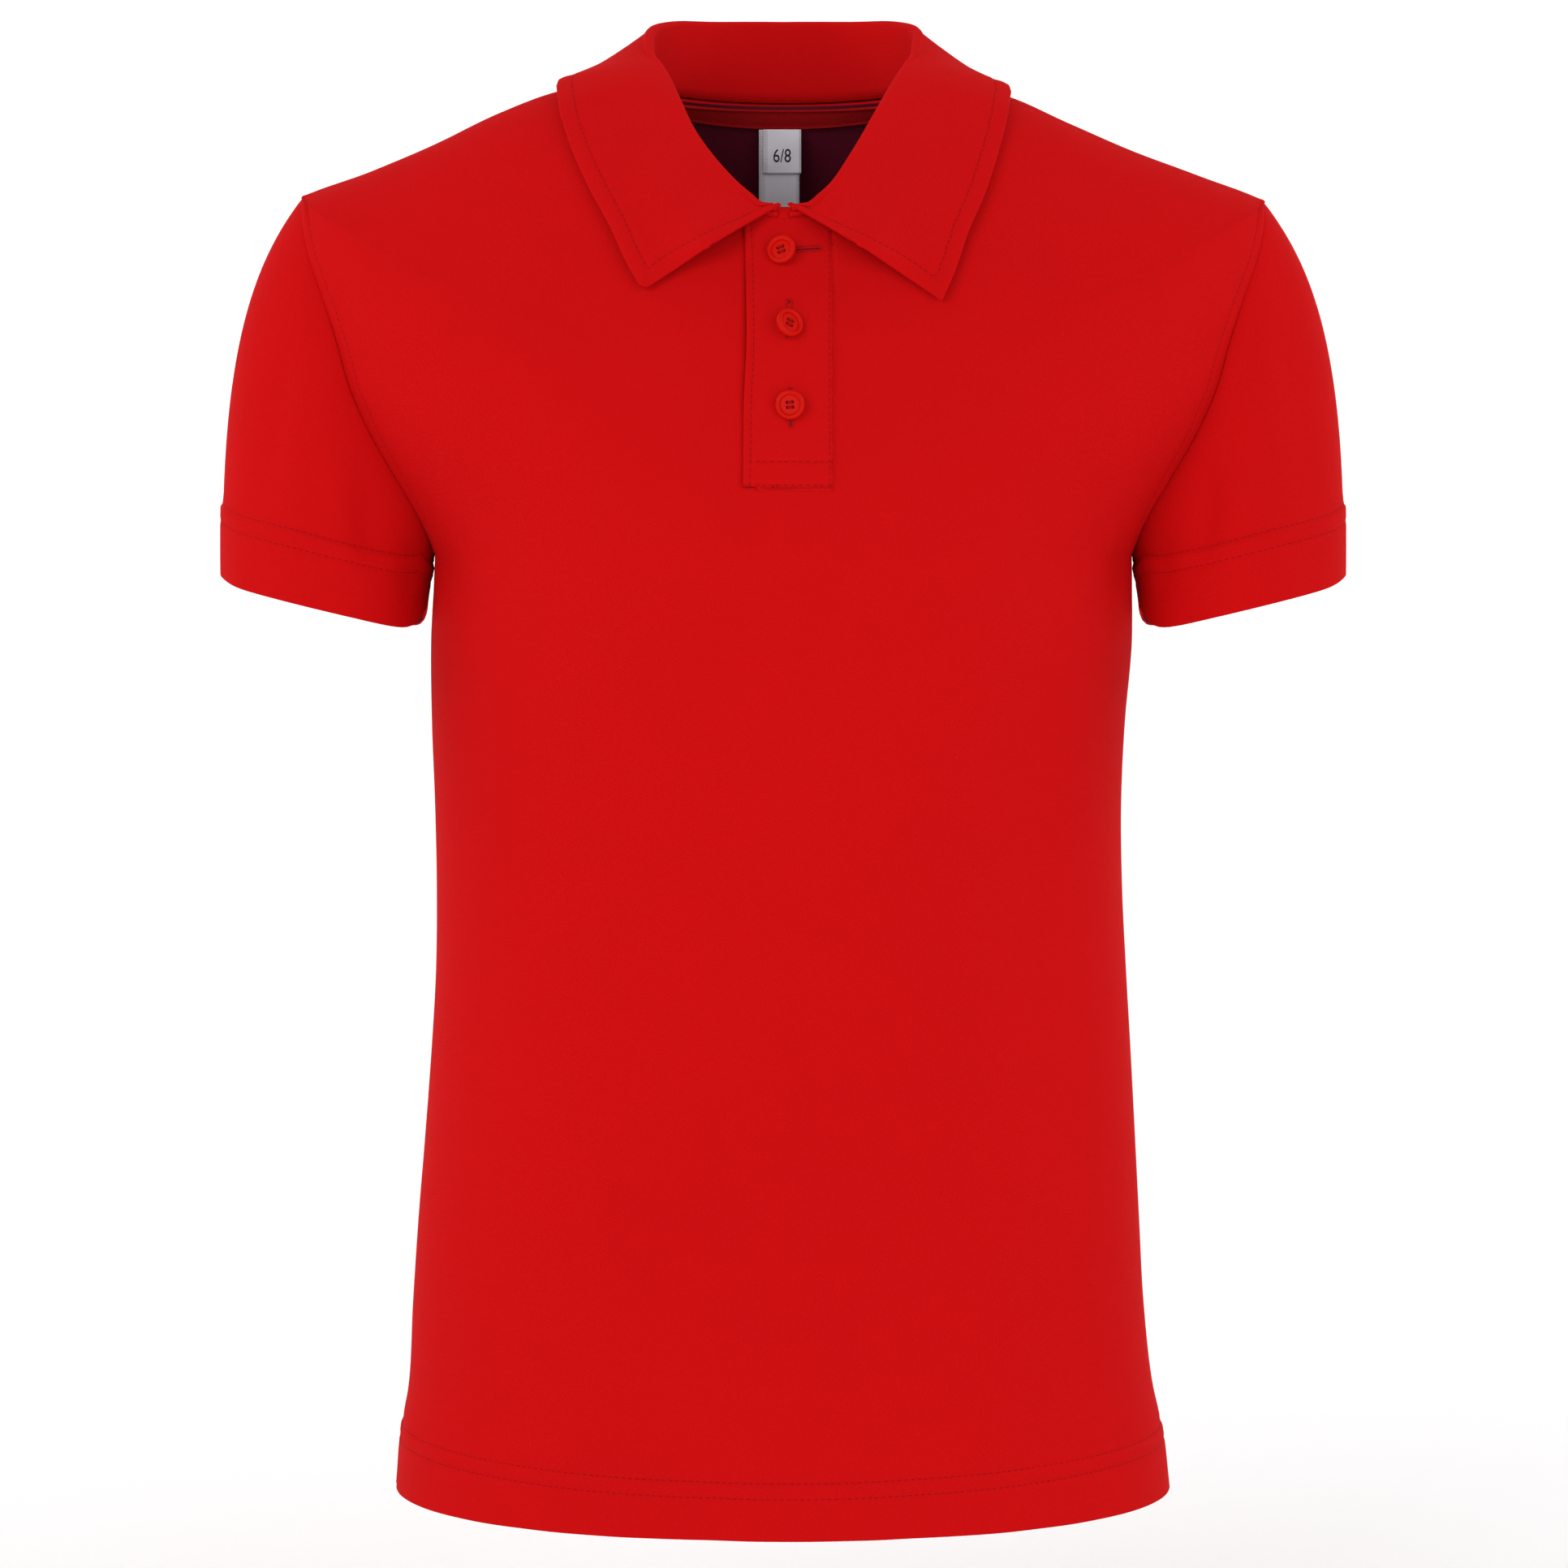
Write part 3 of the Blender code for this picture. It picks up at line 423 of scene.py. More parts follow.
def quarter(reach, depth, centre_z, side_z, fullness):
    turn = np.linspace(0, math.pi / 2, CURVE_POINTS)
    power = 2 / fullness
    across = np.sin(turn) ** power
    x = reach * across
    y = -depth * np.cos(turn) ** power
    z = centre_z + (side_z - centre_z) * across**2
    return np.stack([x, y, z], axis=1)


def quarter_through(end, depth, centre_z, fullness):
    turn = math.acos(max(-end[1] / depth, 0.0) ** (fullness / 2))
    across = math.sin(turn) ** (2 / fullness)
    side_z = centre_z + (end[2] - centre_z) / across**2
    return quarter(end[0] / across, depth, centre_z, side_z, fullness)


def flipped(points):
    return points * np.array([1.0, -1.0, 1.0])


def up_to(points, seam_y):
    end = np.interp(seam_y, points[:, 1], lengths(points))
    keep = lengths(points) < end - 1e-6
    return np.concatenate([points[keep], at_lengths(points, [end])])


def ring_halves(side, place, share, front_drop, back_drop):
    """(front, back): the two stretches of one ring on one side, each from its middle to the seam."""
    front, back = front_depth(front_drop), back_depth(back_drop)
    if place == "armhole":
        fullness = 2.0 + 0.2 * share
        front_end = armhole_point(side, 180 * share)
        back_end = flipped(armhole_point(side, 360 - 180 * share))
        front_line = quarter_through(front_end, front, -front_drop, fullness)
        back_line = quarter_through(back_end, back, -back_drop, fullness)
        return up_to(front_line, front_end[1]), flipped(up_to(back_line, back_end[1]))
    if place == "shoulder":
        reach = NECK_HALF_WIDTH + (SHOULDER_REACH - NECK_HALF_WIDTH) * share
        side_z = -ridge_drop[side](reach)
        fullness = 2.0
        seam_y = -(NECK_SEAM_FORWARD + (TIP_SEAM_FORWARD - NECK_SEAM_FORWARD) * share)
    else:
        reach = side_reach[side](share)
        side_z = -share
        fullness = 2.2
        seam_y = 0.0
    front_line = quarter(reach, front, -front_drop, side_z, fullness)
    back_line = flipped(quarter(reach, back, -back_drop, side_z, fullness))
    if seam_y < 0:
        over_ridge = front_line[::-1]
        over_ridge = over_ridge[over_ridge[:, 1] > seam_y][1:]
        front_line = up_to(front_line, seam_y)
        back_line = np.concatenate([back_line, over_ridge, front_line[-1:]])
    return front_line, back_line


def ring_list():
    """Every ring from neck to hem, as (place, share, front drop, back drop)."""
    rings = [("shoulder", 0.0, NECK_FRONT_DROP, NECK_BACK_DROP)]
    front_drop, back_drop, share, place = NECK_FRONT_DROP, NECK_BACK_DROP, 0.0, "shoulder"
    for band in BANDS:
        if band.place != place:
            share, place = 0.0, band.place
        if place == "side":
            share = front_drop if share == 0.0 else share
            end = band.front_drop - (HEM_SIDE_LIFT if band is BANDS[-1] else 0.0)
        else:
            end = band.end
        for step in range(1, band.rings + 1):
            part = step / band.rings
            front = front_drop + (band.front_drop - front_drop) * part
            back = back_drop + (band.back_drop - back_drop) * part
            rings.append((place, share + (end - share) * part, front, back))
        share, front_drop, back_drop = end, band.front_drop, band.back_drop
    return rings


RINGS = ring_list()
HEM_LINE = len(RINGS) - 1
RINGS.append(("side", BODY_LENGTH - HEM_EDGE_LIFT, BODY_LENGTH, BODY_LENGTH))
FIRST_ARMHOLE_RING = BANDS[0].rings
PLACKET_RING = FIRST_ARMHOLE_RING + BANDS[1].rings
UNDERARM_RING = PLACKET_RING + BANDS[2].rings
print("rings:", len(RINGS), "from the neck to the hem")

# %% [markdown]
# ## From rings to cloth
# A panel is a grid of points. Its columns stand close together beside the seams, where the cloth dips into
# the seam and a row of stitches runs, and wide apart in the middle. Its rows follow a smooth curve through
# the rings, so no ring shows as a line.

# %% panel grids
SEAM_STEPS = [0, 0.4, 0.9, 1.6, 2.6, 4.0, 5.4, 6.4, 7.0, 7.6, 8.8, 10.5]  # columns this far from a seam
ARMHOLE_STITCH = 7.0
MIDDLE_COLUMNS = 46
PLACKET_COLUMNS = 8
ROW_SPACING = 3.2
HEM_ROWS = [0.8, 1.6, 2.8, 4.2, 5.0, 5.6, 6.2, 7.2, 9.0, 11.5, 14.0, 16.5]  # rows below the hem's line
HEM_STITCHES = (0.0, 5.6)
EDGE_ROWS = [1.9, 1.15, 0.7, 0.35, 0.12, 0.0]  # rows this far from the hem's edge


def half_columns(line, first):
    last = lengths(line)[-1]
    near = last - np.array(SEAM_STEPS[::-1])
    return at_lengths(line, np.concatenate([np.linspace(first, near[0], MIDDLE_COLUMNS + 1)[:-1], near]))


def notch(side):
    return -(PLACKET_LEFT + PLACKET_OVERLAP) if side == "left" else PLACKET_RIGHT + SEAM_GAP


def ring_grid(panel):
    """The panel's points on its rings, columns from the left seam to the right one."""
    part = 0 if panel == "front" else 1
    rows = []
    for ring in RINGS:
        halves = {}
        for side, sign in SIDE_SIGNS.items():
            line = ring_halves(side, *ring)[part]
            first = np.interp(notch(side), line[:, 0], lengths(line)) if panel == "front" else 0.0
            halves[side] = half_columns(line, first) * np.array([sign, 1.0, 1.0])
        left, right = halves["left"][::-1], halves["right"]
        if panel == "front":
            shares = np.linspace(0, 1, PLACKET_COLUMNS + 1)[1:-1, None]
            middle = left[-1] + (right[0] - left[-1]) * shares
            middle[:, 1] -= MIDDLE_BOW * np.sin(math.pi * shares[:, 0])
            rows.append(np.concatenate([left, middle, right]))
        else:
            rows.append(np.concatenate([left, right[1:]]))
    return np.array(rows)


def ring_places(grids):
    """How far down the cloth each ring lies, as the mean over both panels."""
    steps = sum(np.linalg.norm(np.diff(grid, axis=0), axis=2).mean(axis=1) for grid in grids) / len(grids)
    return np.concatenate([[0.0], np.cumsum(steps)])


def row_places(places):
    fine = []
    for start, end in zip(places[:HEM_LINE], places[1:]):
        count = max(1, round((end - start) / ROW_SPACING))
        fine.extend(np.linspace(start, end, count + 1)[:-1])
    fine.extend(places[HEM_LINE] + np.array([-0.8, 0.0] + HEM_ROWS))
    fine.extend(places[-1] - np.array(EDGE_ROWS))
    return np.array(fine)


ring_grids = {panel: ring_grid(panel) for panel in ("front", "back")}
PLACES = ring_places(list(ring_grids.values()))
ROWS = row_places(PLACES)
flat_grids = {panel: smooth(PLACES, grid)(ROWS) for panel, grid in ring_grids.items()}
print("panels:", len(ROWS), "rows of", {panel: grid.shape[1] for panel, grid in flat_grids.items()})


# %% normals and folds
def grid_normals(grid, wrap=False):
    """Unit normals towards the viewer in front, for rows that run down and columns that run right."""
    down = np.gradient(grid, axis=0)
    if wrap:
        across = np.roll(grid, -1, axis=1) - np.roll(grid, 1, axis=1)
    else:
        across = np.gradient(grid, axis=1)
    return unit(np.cross(down, across))


def panel_normals(panel, grid):
    return grid_normals(grid) * (1.0 if panel == "front" else -1.0)


def fold_offset(table, panel, points):
    offset = np.zeros(points.shape[:-1])
    x, drop = points[..., 0], -points[..., 2]
    for fold in table:
        if fold.panel != panel:
            continue
        run = np.array([fold.end_x - fold.start_x, fold.end_drop - fold.start_drop], float)
        along = ((x - fold.start_x) * run[0] + (drop - fold.start_drop) * run[1]) / run.dot(run)
        t = np.clip(along, 0, 1)
        away = np.hypot(x - fold.start_x - t * run[0], drop - fold.start_drop - t * run[1])
        if fold.end_drop < BODY_LENGTH:
            fade = np.sin(math.pi * (FOLD_START + (1 - FOLD_START) * t))
        else:
            fade = np.sqrt(t)
        offset += fold.depth * fade * bump(away, fold.width)
    return offset


folded = {}
for panel, grid in flat_grids.items():
    folded[panel] = grid + panel_normals(panel, grid) * fold_offset(FOLDS, panel, grid)[..., None]
moved = np.abs(folded["front"] - flat_grids["front"]).max()
print("folds: front moves by up to", round(float(moved), 2), "mm")

# %% [markdown]
# ## Seams, hems and puckers
# A seam pulls the cloth in, a row of stitches presses a shallow channel into it, and both gather it slightly
# because thread and cloth never stretch alike. The channel's depth is therefore rippled along its length.

# %% relief of the panels
SEAM_DIP = 0.10
SEAM_WIDTH = 1.0
STITCH_DIP = 0.30
STITCH_WIDTH = 0.75
HEAD_RIDGE = 0.9  # height of the low ridge that the body has beside the sleeve's head
HEAD_RIDGE_PLACE = 3.6
HEAD_RIDGE_WIDTH = 2.6
HEAD_RIDGE_START = 4.0  # it begins this far above the shoulder's tip
HEAD_RIDGE_REACH = 24.0
HEAD_RIDGE_END = 14.0
HEAD_RIDGE_FADE = 20.0
ARMHOLE_ROW_END = 6.0  # the armhole's stitches stop this far above the underarm
PUCKER = 0.16
PUCKER_WAVES = ((9.7, 0.3), (6.1, 1.9), (14.3, 4.1))
HEM_WAVE = 0.55
HEM_WAVES = ((58.0, 0.4), (37.0, 2.2), (23.0, 5.1), (81.0, 3.0))
HEM_WAVE_REACH = 34.0


def edge_distance(grid):
    """Distance of each point to the left and to the right end of its row."""
    steps = np.linalg.norm(np.diff(grid, axis=1), axis=2)
    along = np.concatenate([np.zeros((len(grid), 1)), np.cumsum(steps, axis=1)], axis=1)
    return along, along[:, -1:] - along


def channel(distance, along, depth=STITCH_DIP, width=STITCH_WIDTH):
    """Dip of one row of stitches, with its puckers."""
    dip = depth * (1 + 0.5 * ripple(along, PUCKER_WAVES)) * bump(distance, width)
    return -dip + PUCKER * ripple(along + 3.0, PUCKER_WAVES) * bump(distance, 4 * width)


def above_underarm(down):
    """1 beside the armhole, fading out where it ends under the arm."""
    return np.clip((PLACES[UNDERARM_RING] - HEAD_RIDGE_END - down) / HEAD_RIDGE_FADE, 0, 1)


def step_up(below):
    """0 above a hem's line and 1 below it, with a short even rise between."""
    return np.clip(below / STEP_RISE / 2 + 0.5, 0, 1)


def eased(share):
    """The same share from 0 to 1, with a soft start and end."""
    return share * share * (3 - 2 * share)


def panel_relief(panel, grid):
    from_left, from_right = edge_distance(grid)
    seam = np.minimum(from_left, from_right)
    down = ROWS[:, None] + np.zeros_like(seam)
    along = grid[..., 0] if panel == "front" else -grid[..., 0]
    offset = fold_offset(CREASES, panel, grid)
    offset -= SEAM_DIP * (1 + 0.3 * ripple(down, PUCKER_WAVES)) * bump(seam, SEAM_WIDTH)
    beside_armhole = (down > PLACES[FIRST_ARMHOLE_RING]) & (down < PLACES[UNDERARM_RING] - ARMHOLE_ROW_END)
    offset += np.where(beside_armhole, channel(seam - ARMHOLE_STITCH, down), 0.0)
    from_tip = np.maximum(down - PLACES[FIRST_ARMHOLE_RING], 0.0)
    onto_arm = np.clip(1 - (PLACES[FIRST_ARMHOLE_RING] - down) / HEAD_RIDGE_START, 0, 1)
    ridge = HEAD_RIDGE * onto_arm * bump(from_tip, HEAD_RIDGE_REACH) * above_underarm(down)
    offset += ridge * bump(seam - HEAD_RIDGE_PLACE, HEAD_RIDGE_WIDTH)
    below_hem = down - PLACES[HEM_LINE]
    for row in HEM_STITCHES:
        offset += channel(below_hem - row, along + 2 * row)
    offset += HEM_STEP * eased(step_up(below_hem))
    from_edge = PLACES[-1] - down
    offset += HEM_WAVE * ripple(along, HEM_WAVES) * bump(from_edge, HEM_WAVE_REACH)
    return offset


panels, normals = {}, {}
for panel, grid in folded.items():
    relief = panel_relief(panel, grid)
    panels[panel] = grid + panel_normals(panel, grid) * relief[..., None]
    normals[panel] = panel_normals(panel, panels[panel])
print("relief: deepest", round(float(relief.min()), 2), "mm")

# %% [markdown]
# ## Sleeves
# Each sleeve starts on the armhole's own points, so the seam closes, and sweeps to a cuff that points down.
# Four directions, at the top, front, underside and back, say how the cloth leaves the seam and how it
# arrives at the cuff. Everything between them is blended.

# %% sleeve surface
CUFF_MIDDLE = 169.3
CUFF_HALF_WIDTH = 37.0
CUFF_HALF_DEPTH = 40.5
CUFF_DROP = 191.2
CUFF_SLOPE = 0.25
CUFF_LIFT = 9.5
CUFF_LIFT_POWER = 14
CUFF_TOP_LIFT = 3.0
CUFF_TOP_POWER = 8
SLEEVE_TUCK = 0.12  # the sleeve's edge reaches under the body's
Quarter = namedtuple("Quarter", "leave arrive")
TOP = Quarter((17.0, 0.0, -22.0), (-1.0, 0.0, -85.0))
FRONT = Quarter((12.0, -7.0, -26.0), (2.0, -0.5, -30.0))
UNDER = Quarter((1.6, 0.0, -7.0), (0.6, 0.0, -8.0))
BACK = Quarter((12.0, 7.0, -26.0), (2.0, 0.5, -30.0))

SLEEVE_SHARES = np.linspace(0, 1, 40) ** 1.35  # rows from the seam to the cuff's band
BAND_SHARES = [0.04, 0.08, 0.13, 0.18, 0.215, 0.24, 0.265, 0.31, 0.38, 0.48, 0.58, 0.68, 0.78, 0.86, 0.92]
CUFF_STITCHES = (0.0, 0.24)  # as shares of the band
CUFF_EDGE_ROWS = [1.7, 1.15, 0.7, 0.35, 0.12, 0.0]
CUFF_WAVE = 0.3
CUFF_WAVE_REACH = 20.0
LONGEST_BAND = 0.8  # the cuff's band never takes more of the sleeve's length than this
SLEEVE_TWIST = 6  # the left sleeve's folds lie this many degrees further round


def blend_quarters(name, angle):
    turn = math.radians(angle)
    parts = [
        (TOP, max(math.cos(turn), 0.0)),
        (FRONT, max(math.sin(turn), 0.0)),
        (UNDER, max(-math.cos(turn), 0.0)),
        (BACK, max(-math.sin(turn), 0.0)),
    ]
    return sum(np.array(getattr(part, name)) * share**2 for part, share in parts)


def cuff_point(angle):
    turn = math.radians(angle)
    x = CUFF_MIDDLE + CUFF_HALF_WIDTH * math.cos(turn)
    y = -CUFF_HALF_DEPTH * math.sin(turn)
    lift = CUFF_LIFT * max(-math.cos(turn), 0.0) ** CUFF_LIFT_POWER
    lift += CUFF_TOP_LIFT * max(math.cos(turn), 0.0) ** CUFF_TOP_POWER
    return np.array([x, y, -CUFF_DROP + CUFF_SLOPE * (x - CUFF_MIDDLE) + lift])


def armhole_rows():
    """Rows of a panel that end on the armhole, and the angle round the armhole of each."""
    rings = range(FIRST_ARMHOLE_RING, UNDERARM_RING + 1)
    angles = [0.0] + [180 * RINGS[ring][1] for ring in rings[1:]]
    rows = np.flatnonzero((ROWS > PLACES[rings[0]] - 1e-6) & (ROWS < PLACES[rings[-1]] + 1e-6))
    return rows, smooth(PLACES[rings[0] : rings[-1] + 1], angles)(ROWS[rows])


def sleeve_surface(side):
    """(grid, distance of each point from the cuff's edge, share of the band of each point)."""
    rows, angles = armhole_rows()
    edge = 0 if side == "left" else -1
    mirror = np.array([SIDE_SIGNS[side], 1.0, 1.0])
    starts = [(panels_edge, angle) for panels_edge, angle in zip(folded["front"][rows, edge], angles)]
    back = list(zip(folded["back"][rows, edge], 360 - angles))
    starts += back[::-1][1:-1]
    lines, from_edge, band_share = [], [], []
    t = np.linspace(0, 1, CURVE_POINTS)[:, None]
    for start, angle in starts:
        start = start * mirror
        leave = blend_quarters("leave", angle)
        start = start - SLEEVE_TUCK * unit(leave)
        end = cuff_point(angle)
        near, far = start + leave, end - blend_quarters("arrive", angle)
        curve = (1 - t) ** 3 * start + 3 * (1 - t) ** 2 * t * near + 3 * (1 - t) * t * t * far + t**3 * end
        total = lengths(curve)[-1]
        band_length = min(CUFF_BAND, LONGEST_BAND * total)
        band = total - band_length
        in_band = band + band_length * np.array(BAND_SHARES)
        wanted = np.concatenate([band * SLEEVE_SHARES, in_band, total - np.array(CUFF_EDGE_ROWS)])
        lines.append(at_lengths(curve, wanted) * mirror)
        from_edge.append(total - wanted)
        band_share.append((wanted - band) / band_length)
    return (np.array(part).swapaxes(0, 1) for part in (lines, from_edge, band_share))


# %% relief of the sleeves
SleeveFold = namedtuple("SleeveFold", "angle start end depth width")
SLEEVE_FOLDS = [
    SleeveFold(52, 0.10, 0.80, -1.1, 7.0),
    SleeveFold(86, 0.20, 0.95, -0.9, 8.0),
    SleeveFold(122, 0.05, 0.75, -1.5, 7.0),
    SleeveFold(150, 0.10, 0.90, -1.0, 5.0),
    SleeveFold(214, 0.10, 0.85, -1.3, 7.0),
    SleeveFold(262, 0.15, 0.90, -1.4, 9.0),
    SleeveFold(318, 0.05, 0.70, -1.0, 8.0),
]


def sleeve_relief(side, grid, from_edge, band_share):
    count = grid.shape[1]
    angle = np.linspace(0, 360, count, endpoint=False)[None, :] + np.zeros(grid.shape[:2])
    around = np.cumsum(np.linalg.norm(grid - np.roll(grid, 1, axis=1), axis=2), axis=1)
    from_seam = np.cumsum(
        np.concatenate([np.zeros((1, count)), np.linalg.norm(np.diff(grid, axis=0), axis=2)]), axis=0
    )
    share = from_seam / from_seam[-1]
    offset = -SEAM_DIP * (1 + 0.3 * ripple(around, PUCKER_WAVES)) * bump(from_seam, SEAM_WIDTH)
    for fold in SLEEVE_FOLDS:
        turn = fold.angle if side == "right" else fold.angle + SLEEVE_TWIST
        away = np.radians((angle - turn + 180) % 360 - 180) * CUFF_HALF_DEPTH
        t = np.clip((share - fold.start) / (fold.end - fold.start), 0, 1)
        offset += fold.depth * np.sin(math.pi * t) ** 1.5 * bump(away, fold.width)
    band_length = from_edge / np.maximum(1 - band_share, 1e-3)
    below = band_share * np.minimum(band_length, CUFF_BAND)
    for row in CUFF_STITCHES:
        offset += channel(below - row * CUFF_BAND, around)
    offset += CUFF_STEP * eased(step_up(below))
    offset += CUFF_WAVE * ripple(around, HEM_WAVES) * bump(from_edge, CUFF_WAVE_REACH)
    return offset


sleeves, sleeve_normals = {}, {}
for side, sign in SIDE_SIGNS.items():
    grid, from_edge, band_share = sleeve_surface(side)
    facing = -grid_normals(grid, wrap=True) * sign
    sleeves[side] = grid + facing * sleeve_relief(side, grid, from_edge, band_share)[..., None]
    sleeve_normals[side] = -grid_normals(sleeves[side], wrap=True) * sign
print("sleeves:", sleeves["left"].shape[0], "rows of", sleeves["left"].shape[1])

# %% [markdown]
# ## One corner where three cloths meet
# Two pieces that meet at a seam share one direction of thickness there, as a mitre does. Without that the
# walls would cross or leave a wedge open. Where the underarm folds back on itself they keep their own.

# %% shared normals at the seams
FOLDS_BACK = 0.3


def share_normals():
    rows, _ = armhole_rows()
    for side in SIDE_SIGNS:
        edge = 0 if side == "left" else -1
        count = len(rows) - 1
        sleeve = sleeve_normals[side]
        for position in range(2 * count):
            panel = "front" if position <= count else "back"
            row = rows[position if position <= count else 2 * count - position]
            own, other = normals[panel][row, edge], sleeve[0, position]
            if own.dot(other) > FOLDS_BACK:
                shared = unit(own + other)
                normals[panel][row, edge] = shared
                sleeve[0, position] = shared
        along_side = [row for row in range(len(ROWS)) if row < rows[0] or row >= rows[-1]]
        for row in along_side:
            shared = unit(normals["front"][row, edge] + normals["back"][row, edge])
            normals["front"][row, edge] = shared
            normals["back"][row, edge] = shared


share_normals()
print("seams: shared on", len(ROWS), "rows")

# %% [markdown]
# ## Walls of cloth
# A piece of cloth is two skins with a rim between them. Free edges are rounded by letting the thickness run
# out like a semicircle. The UV map holds the true distances over the cloth in metres, so the knit that the
# material draws has the same size everywhere.

# %% wall helper
LEAST_EDGE = 0.03  # what is left of the thickness at a rounded edge


def round_off(from_edge, half):
    """Half thickness near a free edge, rounded as a semicircle."""
    near = np.clip(1 - from_edge / half, 0, 1)
    return np.maximum(half * np.sqrt(1 - near**2), LEAST_EDGE)


def cloth_uv(grid, wrap=False):
    """Distances over the cloth: across from the middle of each row, and down from the first row."""
    if wrap:
        grid = np.concatenate([grid, grid[:, :1]], axis=1)
    steps = np.linalg.norm(np.diff(grid, axis=1), axis=2)
    across = np.concatenate([np.zeros((len(grid), 1)), np.cumsum(steps, axis=1)], axis=1)
    across -= across[:, grid.shape[1] // 2, None]
    falls = np.linalg.norm(np.diff(grid, axis=0), axis=2).mean(axis=1)
    down = np.concatenate([[0.0], np.cumsum(falls)])[:, None] + np.zeros_like(across)
    return np.stack([across, -down], axis=2) * MM


def add_wall(name, outer, inner, wrap=False, missing=()):
    """A closed wall between two grids. The faces of its inner skin have the material index 1."""
    rows, columns = outer.shape[:2]
    count = rows * columns
    uv = cloth_uv(outer, wrap)
    points = np.concatenate([outer.reshape(-1, 3), inner.reshape(-1, 3)]) * MM
    faces, places, skins_of, edges = [], [], [], {}
    for row in range(rows - 1):
        for col in range(columns if wrap else columns - 1):
            if (row, col) in missing:
                continue
            spots = [(row, col), (row + 1, col), (row + 1, col + 1), (row, col + 1)]
            quad = [r * columns + c % columns for r, c in spots]
            faces += [quad, [corner + count for corner in quad[::-1]]]
            places += [*spots, *spots[::-1]]
            skins_of += [0, 1]
            for i in range(4):
                pair, ends = (quad[i], quad[i - 3]), (spots[i], spots[i - 3])
                key = (min(pair), max(pair))
                if key in edges:
                    del edges[key]
                else:
                    edges[key] = (pair, ends)
    for (first, second), (from_spot, to_spot) in edges.values():
        faces.append([second, first, first + count, second + count])
        places += [to_spot, from_spot, from_spot, to_spot]
        skins_of.append(0)
    data = bpy.data.meshes.new(name)
    data.from_pydata(points.tolist(), [], faces)
    spread = np.array([uv[spot] for spot in places], np.float32)
    data.uv_layers.new(name="cloth").data.foreach_set("uv", spread.ravel())
    data.polygons.foreach_set("material_index", skins_of)
    return add_piece(name, data)


def add_piece(name, data):
    """Links a finished mesh, with its normals outwards and no loose points."""
    mesh = bmesh.new()
    mesh.from_mesh(data)
    bmesh.ops.delete(mesh, geom=[vert for vert in mesh.verts if not vert.link_faces], context="VERTS")
    bmesh.ops.recalc_face_normals(mesh, faces=mesh.faces)
    mesh.to_mesh(data)
    mesh.free()
    data.shade_smooth()
    obj = bpy.data.objects.new(name, data)
    scene.collection.objects.link(obj)
    return obj


# %% front, back and sleeves
pieces = {}
skins = {}  # the outer points and their directions, for what is sewn on


def hem_half(from_edge):
    """Half thickness of a panel at each row: one layer, then the doubled hem with its rounded edge."""
    below = PLACES[-1] - PLACES[HEM_LINE] - from_edge
    half = (CLOTH + (HEM_WALL - CLOTH) * step_up(below)) / 2
    return np.minimum(half, round_off(from_edge, HEM_WALL / 2))


def add_panel(panel):
    half = hem_half(PLACES[-1] - ROWS)[:, None, None]
    middle = panels[panel] - normals[panel] * np.maximum(half, CLOTH / 2)
    outer, inner = middle + normals[panel] * half, middle - normals[panel] * half
    missing = set()
    if panel == "front":
        first = len(SEAM_STEPS) + MIDDLE_COLUMNS - 1
        last_row = int(np.searchsorted(ROWS, PLACES[PLACKET_RING] - 1e-6))
        missing = {(row, col) for row in range(last_row) for col in range(first, first + PLACKET_COLUMNS)}
    pieces[panel] = add_wall(panel + "_panel", outer, inner, missing=missing)
    skins[panel] = (outer, normals[panel])


def add_sleeve(side):
    grid, facing = sleeves[side], sleeve_normals[side]
    _, from_edge, band_share = sleeve_surface(side)
    half = (CLOTH + (HEM_WALL - CLOTH) * step_up(band_share * CUFF_BAND)) / 2
    half = np.minimum(half, round_off(from_edge, HEM_WALL / 2))[..., None]
    middle = grid - facing * np.maximum(half, CLOTH / 2)
    name = "sleeve_" + side
    outer, inner = middle + facing * half, middle - facing * half
    pieces[name] = add_wall(name + "_cloth", outer, inner, wrap=True)
    skins[name] = (outer, facing)


for panel in panels:
    add_panel(panel)
for side in SIDE_SIGNS:
    add_sleeve(side)
print("cloth:", {name: len(piece.data.polygons) for name, piece in pieces.items()})

# %% [markdown]
# ## The collar
# The collar is one band of cloth: a stand that rises from the neck seam, a tight roll, and a fall that lies
# on the shoulders and ends in two points. A table gives the roll and the free edge from the middle of the
# back round to the front, and the fall is then lifted clear of the body wherever it would sink in.

